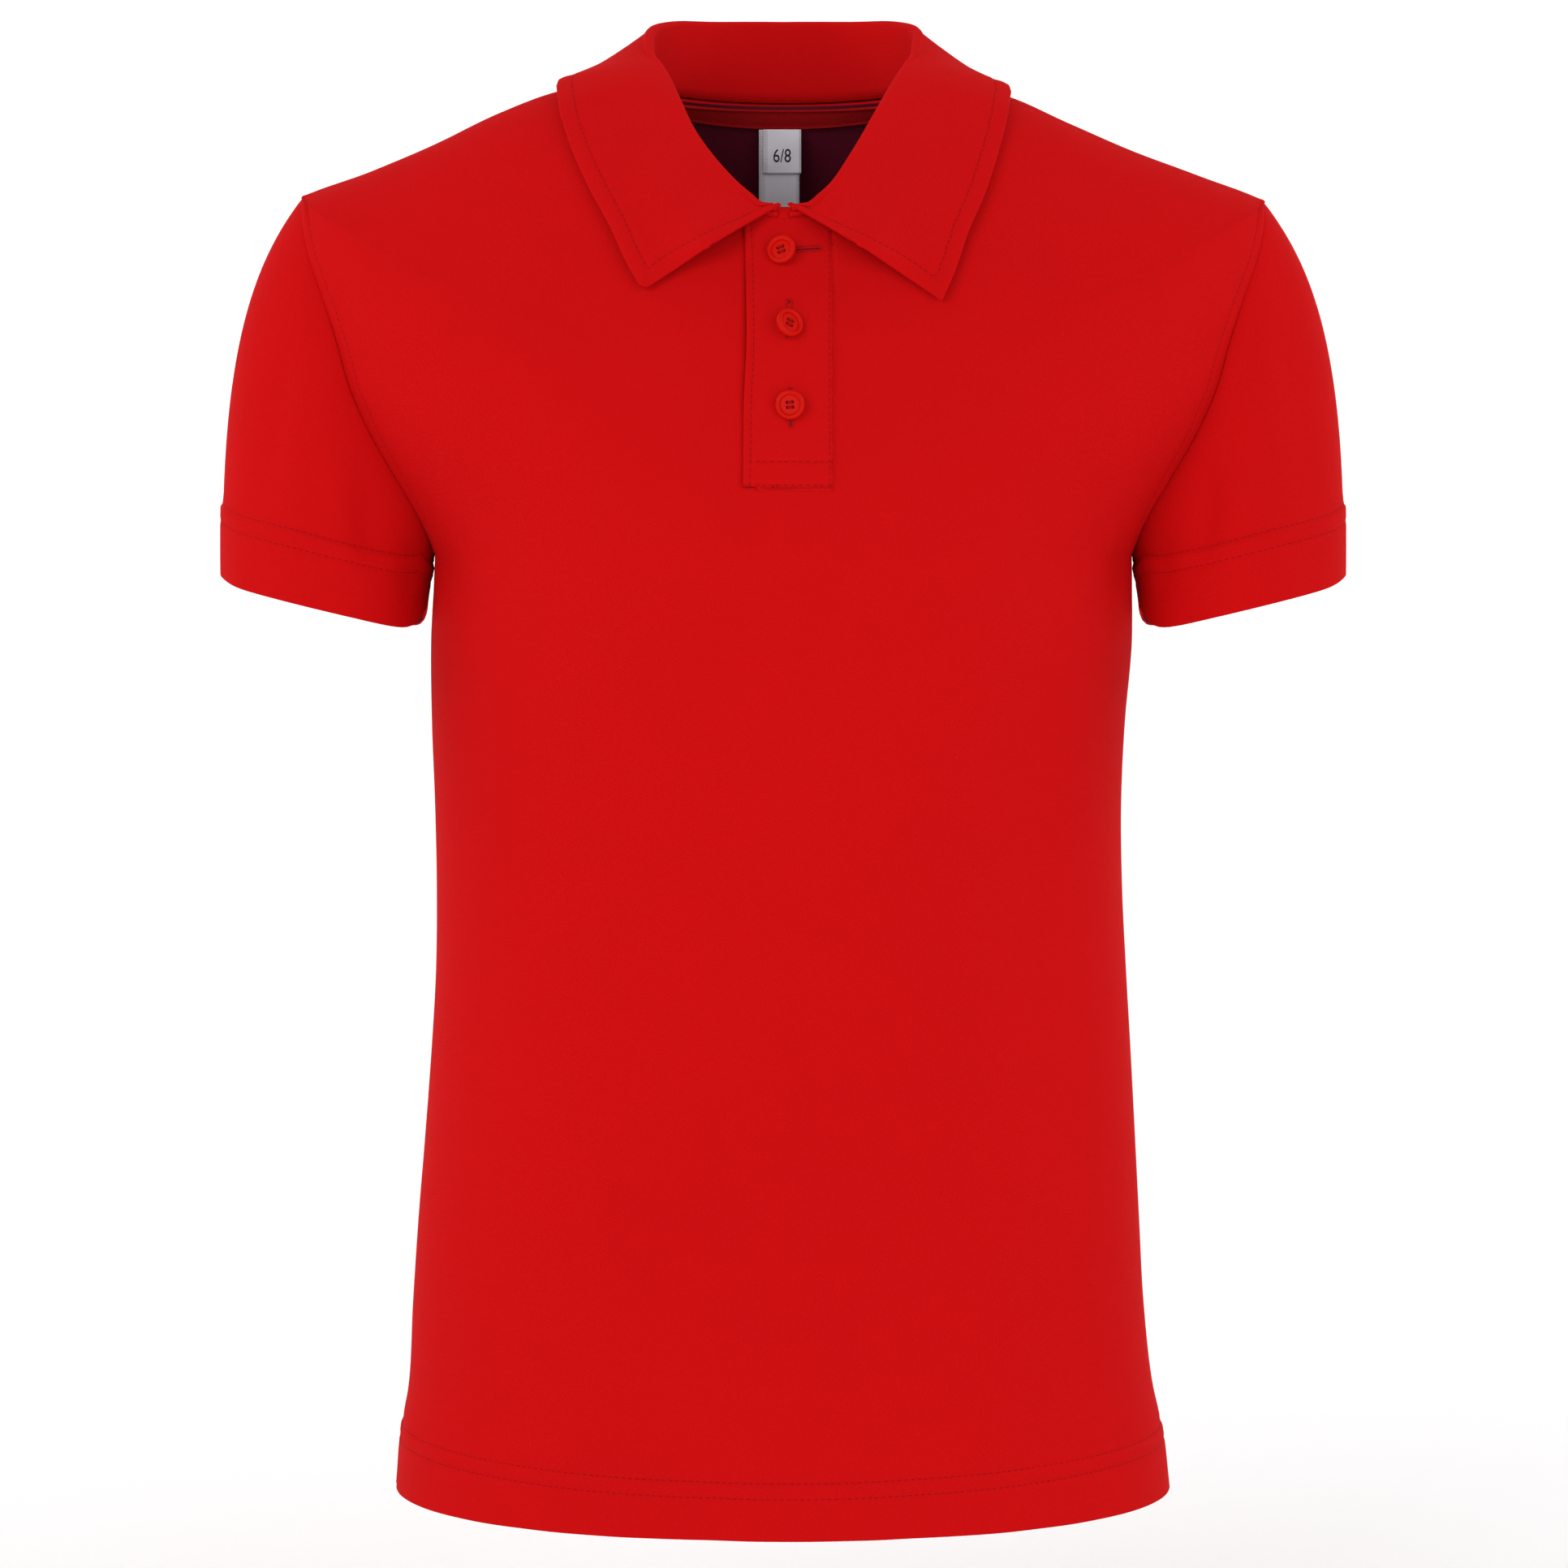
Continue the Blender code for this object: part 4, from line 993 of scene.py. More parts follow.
# %% collar table
Section = namedtuple(
    "Section", "neck roll_left roll_right roll_y roll_z edge_left edge_right edge_y edge_z"
)
COLLAR = [
    Section(0.00, 0.0, 0.0, 55.5, 29.0, 0.0, 0.0, 71.0, -12.0),
    Section(0.14, 26.5, 26.5, 50.5, 28.6, 34.0, 34.0, 64.0, -11.5),
    Section(0.225, 40.5, 41.0, 38.0, 27.2, 59.0, 59.5, 49.0, -9.0),
    Section(0.28, 46.8, 47.3, 24.0, 23.5, 74.0, 75.0, 27.0, -5.5),
    Section(0.345, 47.0, 46.8, 10.0, 15.5, 80.0, 80.6, 8.0, -2.5),
    Section(0.467, 44.4, 44.2, -1.0, 6.5, 81.2, 81.8, -7.0, -4.5),
    Section(0.56, 41.0, 40.3, -13.0, -2.0, 80.2, 81.0, -19.0, -13.0),
    Section(0.647, 37.0, 35.2, -25.0, -11.5, 75.6, 77.0, -33.0, -27.0),
    Section(0.727, 32.4, 29.9, -35.0, -21.0, 69.0, 72.0, -45.0, -41.5),
    Section(0.806, 25.4, 24.0, -44.0, -30.5, 62.0, 66.0, -54.0, -54.5),
    Section(0.895, 15.8, 16.6, -52.0, -40.5, 56.2, 61.4, -61.0, -67.0),
    Section(1.00, 3.0, 3.8, -59.0, -49.0, 49.6, 56.0, -68.0, -78.6),
]
FALL_BOW = 1.6
EDGE_REST = 2.6
COLLAR_REST = 1.5
COLLAR_REST_EASE = 8.0
RIM_SMOOTHING = 14.0
COLLAR_END = 1.5
COLLAR_FOOT = 0.6
TANGENT_STEP = 0.02
COLLAR_REACH = 9.0
FACES_FRONT = 0.4
RIGHT_POINT_DROP = 3.6
ROLL_BACK = 1.5
ROLL_FRONT = 1.3

COLLAR_SECTIONS = 31
STAND_ROWS = 7
ROLL_ROWS = 9
FALL_ROWS = 26
COLLAR_STITCH = 5.9  # the topstitching runs this far inside the free edges
RIM_STEPS = [0, 0.12, 0.35, 0.7, 1.0, 1.6, 2.5, 3.6, 4.7, 5.4, 5.9, 6.4, 7.1, 8.4]
COLLAR_COLUMNS = 64


# %% collar sections
def collar_body():
    """The part of both panels that the collar can touch: points, normals and the way down at the rim."""
    near = ROWS <= PLACES[PLACKET_RING] + 1e-6
    surface, facing, down = [], [], []
    for panel, grid in folded.items():
        steps = np.zeros_like(grid[near])
        steps[0] = grid[1] - grid[0]
        surface.append(grid[near].reshape(-1, 3))
        facing.append(panel_normals(panel, grid)[near].reshape(-1, 3))
        down.append(steps.reshape(-1, 3))
    rims = [folded[panel][0] for panel in folded]
    facings = [panel_normals(panel, folded[panel])[0] for panel in folded]
    weights = [np.linalg.norm(np.gradient(rim, axis=0), axis=1) for rim in rims]
    parts = [np.concatenate(part) for part in (surface, facing, down, rims, facings)]
    return (*parts, np.concatenate(weights))


BODY_POINTS, BODY_FACING, BODY_DOWN, RIM, RIM_FACING, RIM_WEIGHTS = collar_body()


def neckline(side):
    front, back = ring_halves(side, *RINGS[0])
    line = np.concatenate([back, front[::-1][1:]])
    return line * np.array([SIDE_SIGNS[side], 1.0, 1.0])


COLLAR_CURVES = {name: column(COLLAR, "neck", name) for name in Section._fields[1:]}


def collar_place(side, point, part):
    x = SIDE_SIGNS[side] * COLLAR_CURVES[f"{point}_{side}"](part)
    z = COLLAR_CURVES[point + "_z"](part)
    if side == "right" and point == "edge":
        z = z - RIGHT_POINT_DROP * max(part - 0.5, 0.0) * 2
    return np.array([x, COLLAR_CURVES[point + "_y"](part), z])


def rim_normal(point):
    weight = RIM_WEIGHTS * bump(np.linalg.norm(RIM - point, axis=1), RIM_SMOOTHING)
    return unit((RIM_FACING * weight[:, None]).sum(axis=0))


def lift_clear(points, clearance, past_edge):
    """Moves points out until each clears the panels. In front they move straight forward."""
    flat = points.reshape(-1, 3).copy()
    for index, (point, wanted) in enumerate(zip(flat, clearance.reshape(-1))):
        nearest = np.argmin(((BODY_POINTS - point) ** 2).sum(axis=1))
        offset, normal = point - BODY_POINTS[nearest], BODY_FACING[nearest]
        height = offset.dot(normal)
        is_past = offset.dot(BODY_DOWN[nearest]) < 0
        is_near = np.linalg.norm(offset) < COLLAR_REACH
        if height > wanted or (is_past and not (past_edge and is_near)):
            continue
        direction = np.array([0.0, -1.0, 0.0]) if normal[1] < -FACES_FRONT else normal
        flat[index] = point + direction * (wanted - height) / direction.dot(normal)
    return flat.reshape(points.shape)


def collar_line(side, share, seam, total):
    """The collar's section at a share of the half neckline: stand, roll and fall, at half its wall."""
    neck = at_lengths(seam, [share * (total - COLLAR_END)])[0]
    roll = collar_place(side, "roll", share)
    edge = collar_place(side, "edge", share)
    edge = lift_clear(edge[None], np.array([COLLAR_WALL / 2 + EDGE_REST]), True)[0]
    ahead = collar_place(side, "roll", min(share + TANGENT_STEP, 1.0))
    behind = collar_place(side, "roll", max(share - TANGENT_STEP, 0.0))
    tangent = unit(ahead - behind)
    upward = unit(roll - neck - tangent * tangent.dot(roll - neck))
    outward = rim_normal(neck)
    outward = unit(outward - tangent * tangent.dot(outward) - upward * upward.dot(outward))
    radius = ROLL_BACK + (ROLL_FRONT - ROLL_BACK) * share
    centre = roll - upward * radius + outward * (radius + COLLAR_WALL / 2)
    foot = neck + unit(roll - neck) * COLLAR_FOOT
    turns = np.linspace(math.pi, 0, ROLL_ROWS + 1)[:, None]
    arc = centre + radius * (outward * np.cos(turns) + upward * np.sin(turns))
    stand = np.linspace(foot, arc[0], STAND_ROWS + 1)[:-1]
    t = np.linspace(0, 1, FALL_ROWS + 1)[1:, None]
    fall = arc[-1] + (edge - arc[-1]) * t + 4 * t * (1 - t) * outward * FALL_BOW
    return np.concatenate([stand, arc, fall])


def collar_sections():
    shares = np.linspace(0, 1, COLLAR_SECTIONS)
    sections = []
    for side, order in (("left", shares[::-1]), ("right", shares[1:])):
        seam = neckline(side)
        total = lengths(seam)[-1]
        sections += [collar_line(side, share, seam, total) for share in order]
    grid = np.array(sections).transpose(1, 0, 2)
    over_placket = np.abs(grid[..., 0]) < PLACKET_RIGHT + COLLAR_REST_EASE
    rest = np.where(over_placket, PLACKET_WALL + COLLAR_REST, COLLAR_REST)
    rest[: STAND_ROWS + 1] = COLLAR_REST / 2
    fall_start = STAND_ROWS + ROLL_ROWS
    for rows, past_edge in ((slice(1, fall_start), False), (slice(fall_start, None), True)):
        grid[rows] = lift_clear(grid[rows], COLLAR_WALL / 2 + rest[rows], past_edge)
    return grid


rough_collar = collar_sections()
print("collar:", rough_collar.shape[1], "sections of", rough_collar.shape[0])


# %% collar grid
def refit_fall(grid):
    """Gives the fall rows at exact distances from its free edge."""
    start = STAND_ROWS + ROLL_ROWS
    kept, fall = grid[:start], grid[start:]
    fine = []
    for line in fall.transpose(1, 0, 2):
        total = lengths(line)[-1]
        near = total - np.array(RIM_STEPS[::-1])
        fine.append(at_lengths(line, np.concatenate([np.linspace(0, near[0], FALL_ROWS)[:-1], near])))
    return np.concatenate([kept, np.array(fine).transpose(1, 0, 2)])


def refit_columns(grid):
    """Gives each row points at exact distances from the collar's two front ends."""
    near = np.array(RIM_STEPS)
    fine = []
    for row in grid:
        along = lengths(row)
        middle = np.linspace(near[-1], along[-1] - near[-1], 2 * COLLAR_COLUMNS + 1)[1:-1]
        wanted = np.concatenate([near, middle, along[-1] - near[::-1]])
        fine.append(smooth(np.arange(len(row)), row)(np.interp(wanted, along, np.arange(len(row)))))
    return np.array(fine)


def soften(grid, rounds):
    """Evens out small steps between neighbouring points, and leaves the borders alone."""
    for _ in range(rounds):
        inner = grid[1:-1, 1:-1]
        around = (grid[:-2, 1:-1] + grid[2:, 1:-1] + grid[1:-1, :-2] + grid[1:-1, 2:]) / 4
        grid = grid.copy()
        grid[1:-1, 1:-1] = inner + (around - inner) * 0.5
    return grid


COLLAR_PUFF = 0.22
COLLAR_PUFF_WIDTH = 1.9
SHOULDER_LINE = 20  # the collar's dimples and lifts all lie in front of this
Dimple = namedtuple("Dimple", "x z depth width")
DIMPLES = [
    Dimple(-68, -12, -0.9, 11),
    Dimple(-55, -38, -0.7, 9),
    Dimple(-62, -58, 0.6, 9),
    Dimple(-38, -44, 0.5, 10),
    Dimple(66, -10, -0.8, 11),
    Dimple(58, -36, -0.7, 10),
    Dimple(70, -52, 0.5, 9),
    Dimple(42, -58, -0.6, 9),
]
LIFTS = [
    Dimple(-23, -63, 8.0, 13),
    Dimple(26, -64, 8.6, 14),
]
POINT_ROUNDS = {"left": 3.4, "right": 1.3}


CORNER_STEP = 12  # the corner's rows and columns are measured along lines this many steps in
CORNER_COLUMNS = 20


def round_point(grid, side, radius):
    """Pulls the corner of one leaf in to an arc: the square of the corner is drawn onto a quarter disc."""
    line = grid if side == "left" else grid[:, ::-1]
    from_front, from_edge, _ = collar_distances(line)
    near_row = int(np.argmin(np.abs(from_edge[:, CORNER_STEP] - radius)))
    near_col = int(np.argmin(np.abs(from_front[-CORNER_STEP, :CORNER_COLUMNS] - radius)))
    corner = line[near_row:, : near_col + 1]
    centre, front, low = line[near_row, near_col], line[near_row, 0], line[-1, near_col]
    u = np.linalg.norm(corner - corner[:, -1:], axis=2) / np.linalg.norm(front - centre)
    v = np.linalg.norm(corner - corner[:1], axis=2) / np.linalg.norm(low - centre)
    share = np.clip(np.maximum(u, v), 0, 1.2) / np.maximum(np.hypot(u, v), 1e-6)
    pulled = (u * share - u)[..., None] * (front - centre) + (v * share - v)[..., None] * (low - centre)
    line = line.copy()
    line[near_row:, : near_col + 1] += pulled
    return line if side == "left" else line[:, ::-1]


collar_grid = refit_columns(refit_fall(rough_collar))
fall_start = STAND_ROWS + ROLL_ROWS
collar_grid[fall_start:] = soften(collar_grid[fall_start:], 3)


def collar_distances(grid):
    from_left, from_right = edge_distance(grid)
    falls = np.linalg.norm(np.diff(grid, axis=0), axis=2)
    from_edge = np.concatenate([np.cumsum(falls[::-1], axis=0)[::-1], np.zeros((1, grid.shape[1]))])
    return np.minimum(from_left, from_right), from_edge, from_left


def collar_relief(grid):
    from_front, from_edge, along = collar_distances(grid)
    on_fall = np.arange(len(grid))[:, None] > fall_start
    inside = COLLAR_STITCH - 0.3
    beside_edge = channel(from_edge - COLLAR_STITCH, along) * (from_front > inside)
    beside_front = channel(from_front - COLLAR_STITCH, from_edge) * (from_edge > inside)
    offset = np.where(on_fall, np.minimum(beside_edge, beside_front), 0.0)
    rim = np.minimum(from_edge, from_front)
    offset += np.where(on_fall, COLLAR_PUFF * bump(rim - COLLAR_STITCH / 2, COLLAR_PUFF_WIDTH), 0.0)
    for dimple in DIMPLES:
        away = np.hypot(grid[..., 0] - dimple.x, grid[..., 2] - dimple.z)
        in_front = grid[..., 1] < SHOULDER_LINE
        offset += np.where(on_fall & in_front, dimple.depth * bump(away, dimple.width), 0.0)
    return offset


collar_facing = -grid_normals(collar_grid)  # away from the body on the fall
collar_grid = collar_grid + collar_facing * collar_relief(collar_grid)[..., None]
for side, radius in POINT_ROUNDS.items():
    collar_grid = round_point(collar_grid, side, radius)
on_fall = (np.arange(len(collar_grid))[:, None] > fall_start) & (collar_grid[..., 1] < SHOULDER_LINE)
for lift in LIFTS:  # the front edges stand off the chest beside the placket
    away = np.hypot(collar_grid[..., 0] - lift.x, collar_grid[..., 2] - lift.z)
    collar_grid[..., 1] -= np.where(on_fall, lift.depth * bump(away, lift.width), 0.0)
collar_facing = -grid_normals(collar_grid)
from_front, from_edge, _ = collar_distances(collar_grid)
half = np.minimum(round_off(from_edge, COLLAR_WALL / 2), round_off(from_front, COLLAR_WALL / 2))
half[: STAND_ROWS + 2] = np.maximum(half[: STAND_ROWS + 2], COLLAR_WALL / 4)
offset = collar_facing * half[..., None]
pieces["collar"] = add_wall("collar_cloth", collar_grid + offset, collar_grid - offset)
skins["collar"] = (collar_grid + offset, collar_facing)
print("collar:", len(pieces["collar"].data.polygons), "faces")

# %% [markdown]
# ## The placket
# The placket is two strips, one on the other, let into a slit of the front. The top strip carries the
# buttonholes: its free edge stands slightly proud and its other edge runs out level with the front. Both
# strips are laid on the front's own form, between two upright lines.

# %% placket strips
PlacketEdge = namedtuple("PlacketEdge", "drop x")
PLACKET_EDGE = [
    PlacketEdge(50, -14.3),
    PlacketEdge(80, -13.1),
    PlacketEdge(97, -12.9),
    PlacketEdge(119, -13.8),
    PlacketEdge(143, -14.1),
    PlacketEdge(150, -14.4),
]
placket_edge = column(PLACKET_EDGE, "drop", "x")
PLACKET_STEPS = np.array([0, 0.15, 0.4, 0.75, 1.3, 2.0, 2.6, 3.2, 4.0, 5.5])
PLACKET_STITCH = 2.6
PLACKET_INNER_STITCH = 1.6  # the row that holds the sewn edge, this far inside it
PLACKET_TOP = -6.4  # the strip's end, this far above the neck's seam
PLACKET_UNDERLAP = 0.5  # past the slit's right edge
PLACKET_LEVEL = 12.0  # the strip comes down level with the front over this length, at its lower end
PLACKET_SPLIT = 18
PLACKET_FLUSH = 1.0  # beside its sewn edge it is level with the front over this width
PLACKET_RISE_POWER = 0.8
LAP_EASE = 4.0
SEWN_DIP, SEWN_DIP_WIDTH = 0.05, 0.6
END_DIP, END_DIP_WIDTH = 0.04, 0.4
INNER_DIP, INNER_DIP_WIDTH = 0.08, 0.6
PLACKET_WAVE, PLACKET_WAVE_REACH = 0.25, 5.0
STRIP_HEAD = 8.0  # rows stand closer above this, and again in the last stretch of the strip
STRIP_FOOT = 24.0
PLACKET_PROUD = PLACKET_WALL + SEAM_GAP
BOX_STITCHES = (0.9, 9.2)  # rows across the placket this far above its end


def strip_grid(left, right, end_cut):
    """Points on the front's own form between two upright lines, from the strip's top to the slit's end."""
    rings = []
    for ring in RINGS[: PLACKET_RING + 1]:
        line = {side: ring_halves(side, *ring)[0] for side in SIDE_SIGNS}
        first = left(ring[2])
        near = first + PLACKET_STEPS
        row = []
        for x in np.concatenate([near[:-1], np.linspace(near[-1], right, PLACKET_SPLIT)]):
            points = line["left" if x < 0 else "right"]
            row.append([x, *[np.interp(abs(x), points[:, 0], points[:, axis]) for axis in (1, 2)]])
        rings.append(row)
    grid = smooth(PLACES[: PLACKET_RING + 1], rings)
    end = PLACES[PLACKET_RING] + end_cut
    head = np.linspace(PLACKET_TOP, STRIP_HEAD, 16)[:-1]
    middle = np.linspace(STRIP_HEAD, end - STRIP_FOOT, 40)[:-1]
    foot = np.linspace(end - STRIP_FOOT, end - 0.4, 34)
    rows = np.concatenate([head, middle, foot, [end - 0.1, end]])
    above_neck = np.minimum(rows, 0.0)[:, None, None] * (grid(np.array([1.0])) - grid(np.array([0.0])))
    points = grid(rows) + above_neck
    along = lengths(points[:, points.shape[1] // 2])
    return points, along[-1] - along


def top_strip():
    right = PLACKET_RIGHT + SEAM_GAP + PLACKET_UNDERLAP
    grid, above_end = strip_grid(lambda drop: float(placket_edge(drop)), right, 0.3)
    facing = grid_normals(grid)
    folds = fold_offset(FOLDS, "front", grid) + fold_offset(CREASES, "front", grid)
    grid = grid + facing * folds[..., None]
    from_left = grid[..., 0] - grid[:, :1, 0]
    from_right = grid[:, -1:, 0] - grid[..., 0]
    inward = np.clip((from_right - PLACKET_FLUSH) / (PLACKET_RIGHT - PLACKET_LEFT), 0, 1)
    rise = PLACKET_PROUD * inward**PLACKET_RISE_POWER
    level = np.clip(above_end[:, None] / PLACKET_LEVEL, 0, 1)
    lap = np.clip(1 - (from_left - PLACKET_OVERLAP) / LAP_EASE, 0, 1)
    rise = rise * (level + (1 - level) * lap)
    end_dip = END_DIP * bump(above_end[:, None], END_DIP_WIDTH) * (1 - lap)
    rise -= SEWN_DIP * bump(from_right, SEWN_DIP_WIDTH) + end_dip
    along = above_end[:, None] + np.zeros_like(from_left)
    relief = channel(from_left - PLACKET_STITCH, along)
    relief += channel(from_right - PLACKET_INNER_STITCH, along + 5, INNER_DIP, INNER_DIP_WIDTH)
    for place in BOX_STITCHES:
        relief += channel(above_end[:, None] - place, grid[..., 0])
    relief += PLACKET_WAVE * ripple(along, HEM_WAVES) * bump(from_left, PLACKET_WAVE_REACH)
    outer = grid + facing * (rise + relief)[..., None]
    facing = grid_normals(outer)
    half = np.minimum(round_off(from_left, PLACKET_WALL / 2), PLACKET_WALL / 2)
    half = np.where(lap > 0, np.minimum(half, round_off(along, PLACKET_WALL / 2)), half)
    middle = outer - facing * PLACKET_WALL / 2
    return middle, facing, half, from_left, above_end


top_middle, top_facing, top_half, top_from_left, top_above_end = top_strip()
placket_front = top_middle + top_facing * top_half[..., None]
pieces["placket_top"] = add_wall(
    "placket_top_cloth", placket_front, top_middle - top_facing * top_half[..., None]
)


def add_under_strip():
    left = notch("left") * -1 + SEAM_GAP
    grid, _ = strip_grid(lambda drop: left, PLACKET_RIGHT - PLACKET_TUCK, -0.6)
    facing = grid_normals(grid)
    width = PLACKET_RIGHT - PLACKET_LEFT
    sink = PLACKET_PROUD * (1 - (PLACKET_RIGHT - grid[..., 0]) / width) + SEAM_GAP
    outer = grid - facing * sink[..., None]
    pieces["placket_under"] = add_wall("placket_under_cloth", outer, outer - facing * PLACKET_WALL)


add_under_strip()
print("placket:", len(pieces["placket_top"].data.polygons), "faces")

# %% [markdown]
# ## Neck tape and labels
# Inside the back neck a narrow ribbed tape covers the seam, and two labels hang from it. The long satin one
# is left bare. The small one is a folded loop with a plain number for the size.

# %% neck tape
TAPE_SHARES = np.array([0, 0.02, 0.06, 0.12, 0.2, 0.3, 0.4, 0.5, 0.6, 0.7, 0.78, 0.84, 0.9, 0.95, 0.98, 1.0])
TAPE_STITCHES = (0.14, 0.86)
TAPE_SWELL = 0.35
TAPE_DIP = 0.22


def add_tape():
    back, facing = folded["back"][:, 1:-1], normals["back"][0, 1:-1]
    seam = back[0] - facing * (CLOTH + 2 * SEAM_GAP)
    down = unit(back[3] - back[0])
    places = TAPE_START + TAPE_WIDTH * TAPE_SHARES
    grid = seam + down * places[:, None, None]
    inward = -facing + np.zeros_like(grid)
    from_rim = (TAPE_WIDTH * np.minimum(TAPE_SHARES, 1 - TAPE_SHARES))[:, None]
    swell = TAPE_SWELL * bump(from_rim, 1.1)
    for share in TAPE_STITCHES:
        swell = swell - TAPE_DIP * bump((TAPE_SHARES[:, None] - share) * TAPE_WIDTH, 0.6)
    top = grid + inward * (TRIM_WALL + swell)[..., None]
    pieces["neck_tape"] = add_wall("neck_tape_ribbed", top[:, ::-1], grid[:, ::-1])
    return top, inward


tape_top, tape_facing = add_tape()


# %% labels
Label = namedtuple("Label", "name left right y drop length lean")
LABELS = [
    Label("label_main", -9.2, 6.2, 59.0, 10.6, 46.0, 5.0),
    Label("label_size", -7.7, 6.8, 57.6, 10.6, 16.5, 1.2),
]
LABEL_CLOTH = 0.35
LABEL_ROWS = 40
LABEL_COLUMNS = 16
LABEL_CURL = 0.5
LABEL_WAVE = 0.3


def label_face(label, share, across):
    """Point of a label's front face at a share of its length and a place across from -1 to 1."""
    x = (label.left + label.right) / 2 + across * (label.right - label.left) / 2
    curl = LABEL_CURL * across**2 * share + LABEL_WAVE * np.sin(2.2 * math.pi * share) * across
    return np.stack([x, label.y + label.lean * share - curl, -label.drop - label.length * share], axis=-1)


def add_main_label(label):
    places = np.linspace(0, 1, LABEL_ROWS), np.linspace(-1, 1, LABEL_COLUMNS)
    grid = label_face(label, *np.meshgrid(*places, indexing="ij"))
    pieces[label.name] = add_wall(label.name + "_satin", grid, grid - grid_normals(grid) * LABEL_CLOTH)


LABEL_FOLD = 0.55  # radius of the small label's fold


def add_size_label(label):
    """A loop: down the front, round a small fold and up again behind."""
    fold = LABEL_FOLD
    down = np.linspace(0, 1 - fold / label.length, LABEL_ROWS)
    share, across = np.meshgrid(down, np.linspace(-1, 1, LABEL_COLUMNS), indexing="ij")
    front = label_face(label, share, across)
    turns = np.linspace(0, math.pi, 9)[1:, None, None]
    centre = front[-1] + np.array([0.0, fold, 0.0])
    bend = centre + fold * (np.array([0, -1.0, 0]) * np.cos(turns) + np.array([0, 0, -1.0]) * np.sin(turns))
    behind = front[::-1][1:] + np.array([0.0, 2 * fold, 0.0])
    loop = np.concatenate([front, bend, behind])
    pieces[label.name] = add_wall(label.name + "_satin", loop, loop - grid_normals(loop) * LABEL_CLOTH)


add_main_label(LABELS[0])
add_size_label(LABELS[1])
print("labels:", [label.name for label in LABELS])

# %% [markdown]
# ## Buttons
# A shirt button is turned on a lathe: a flat back, a rounded rim that stands up, and a sunk middle with four
# holes. The outline is spun round the button's axis, and each hole is cut by a small drill.

# %% buttons
Button = namedtuple("Button", "x drop tip_right tip_up turn")
BUTTONS = [
    Button(-0.3, 65.2, -16.0, -11.0, 20.0),
    Button(1.7, 91.0, 32.0, -2.0, -25.0),
    Button(2.6, 118.7, -6.0, -13.0, 4.0),
]
BUTTON_RADIUS = 5.2
BUTTON_THICKNESS = 2.4
BUTTON_SIDES = 72
BUTTON_THREAD = 0.45
HOLE_RADIUS = 0.62
HOLE_SPREAD = 1.25
RIM_MIDDLE = 0.83  # shares of the radius
RIM_HALF = 0.17
DISH_DEPTH = 0.85
DISH_RADIUS = 0.60
BACK_RADIUS = 0.70
BACK_ROUND = 0.20
BACK_HEIGHT = 0.42  # shares of the thickness
RIM_HEIGHT = 0.62


def button_profile():
    """Outline from the middle of the back, out round the rim, and in to the middle of the dish."""
    r, h = BUTTON_RADIUS, BUTTON_THICKNESS
    points = [(0.0, 0.0), (BACK_RADIUS * r, 0.0)]
    for turn in np.radians(np.linspace(-90, 0, 7)[1:]):
        across = (1 - BACK_ROUND) * r + BACK_ROUND * r * math.cos(turn)
        points.append((across, BACK_HEIGHT * h + BACK_HEIGHT * h * math.sin(turn)))
    for turn in np.radians(np.linspace(0, 180, 13)[1:]):
        across = (RIM_MIDDLE + RIM_HALF * math.cos(turn)) * r
        points.append((across, RIM_HEIGHT * h + (1 - RIM_HEIGHT) * h * math.sin(turn)))
    floor = h - DISH_DEPTH
    for share in (0.25, 0.5, 0.75, 1.0):
        ease = eased(share)
        radius = (RIM_MIDDLE - RIM_HALF - (RIM_MIDDLE - RIM_HALF - DISH_RADIUS) * share) * r
        points.append((radius, RIM_HEIGHT * h + (floor - RIM_HEIGHT * h) * ease))
    points += [(0.3 * r, floor - 0.03), (0.0, floor - 0.05)]
    return points


def lathe(name, profile, sides):
    mesh = bmesh.new()
    verts = [mesh.verts.new((radius * MM, 0, height * MM)) for radius, height in profile]
    edges = [mesh.edges.new(pair) for pair in zip(verts, verts[1:])]
    bmesh.ops.spin(mesh, geom=verts + edges, axis=(0, 0, 1), cent=(0, 0, 0), angle=2 * math.pi, steps=sides)
    bmesh.ops.remove_doubles(mesh, verts=mesh.verts, dist=1e-6)
    bmesh.ops.recalc_face_normals(mesh, faces=mesh.faces)
    data = bpy.data.meshes.new(name)
    mesh.to_mesh(data)
    mesh.free()
    obj = bpy.data.objects.new(name, data)
    scene.collection.objects.link(obj)
    return obj


def drill_holes(obj):
    for hole in range(4):
        turn = math.radians(45 + 90 * hole)
        mesh = bmesh.new()
        radius = HOLE_RADIUS * MM
        bmesh.ops.create_cone(
            mesh, cap_ends=True, segments=24, radius1=radius, radius2=radius, depth=3 * BUTTON_THICKNESS * MM
        )
        place = Vector((math.cos(turn), math.sin(turn), 0.0)) * HOLE_SPREAD * MM
        bmesh.ops.translate(mesh, verts=mesh.verts, vec=place)
        data = bpy.data.meshes.new("drill")
        mesh.to_mesh(data)
        mesh.free()
        drill = bpy.data.objects.new("drill", data)
        scene.collection.objects.link(drill)
        cut = obj.modifiers.new("hole", "BOOLEAN")
        cut.operation = "DIFFERENCE"
        cut.solver = "EXACT"
        cut.object = drill
        apply_modifiers(obj)
        bpy.data.objects.remove(drill)


def apply_modifiers(obj):
    """Turns what the modifiers make into the object's own plain mesh."""
    bpy.context.view_layer.update()
    shown = obj.evaluated_get(bpy.context.evaluated_depsgraph_get())
    data = bpy.data.meshes.new_from_object(shown)
    obj.modifiers.clear()
    obj.data = data
    return obj


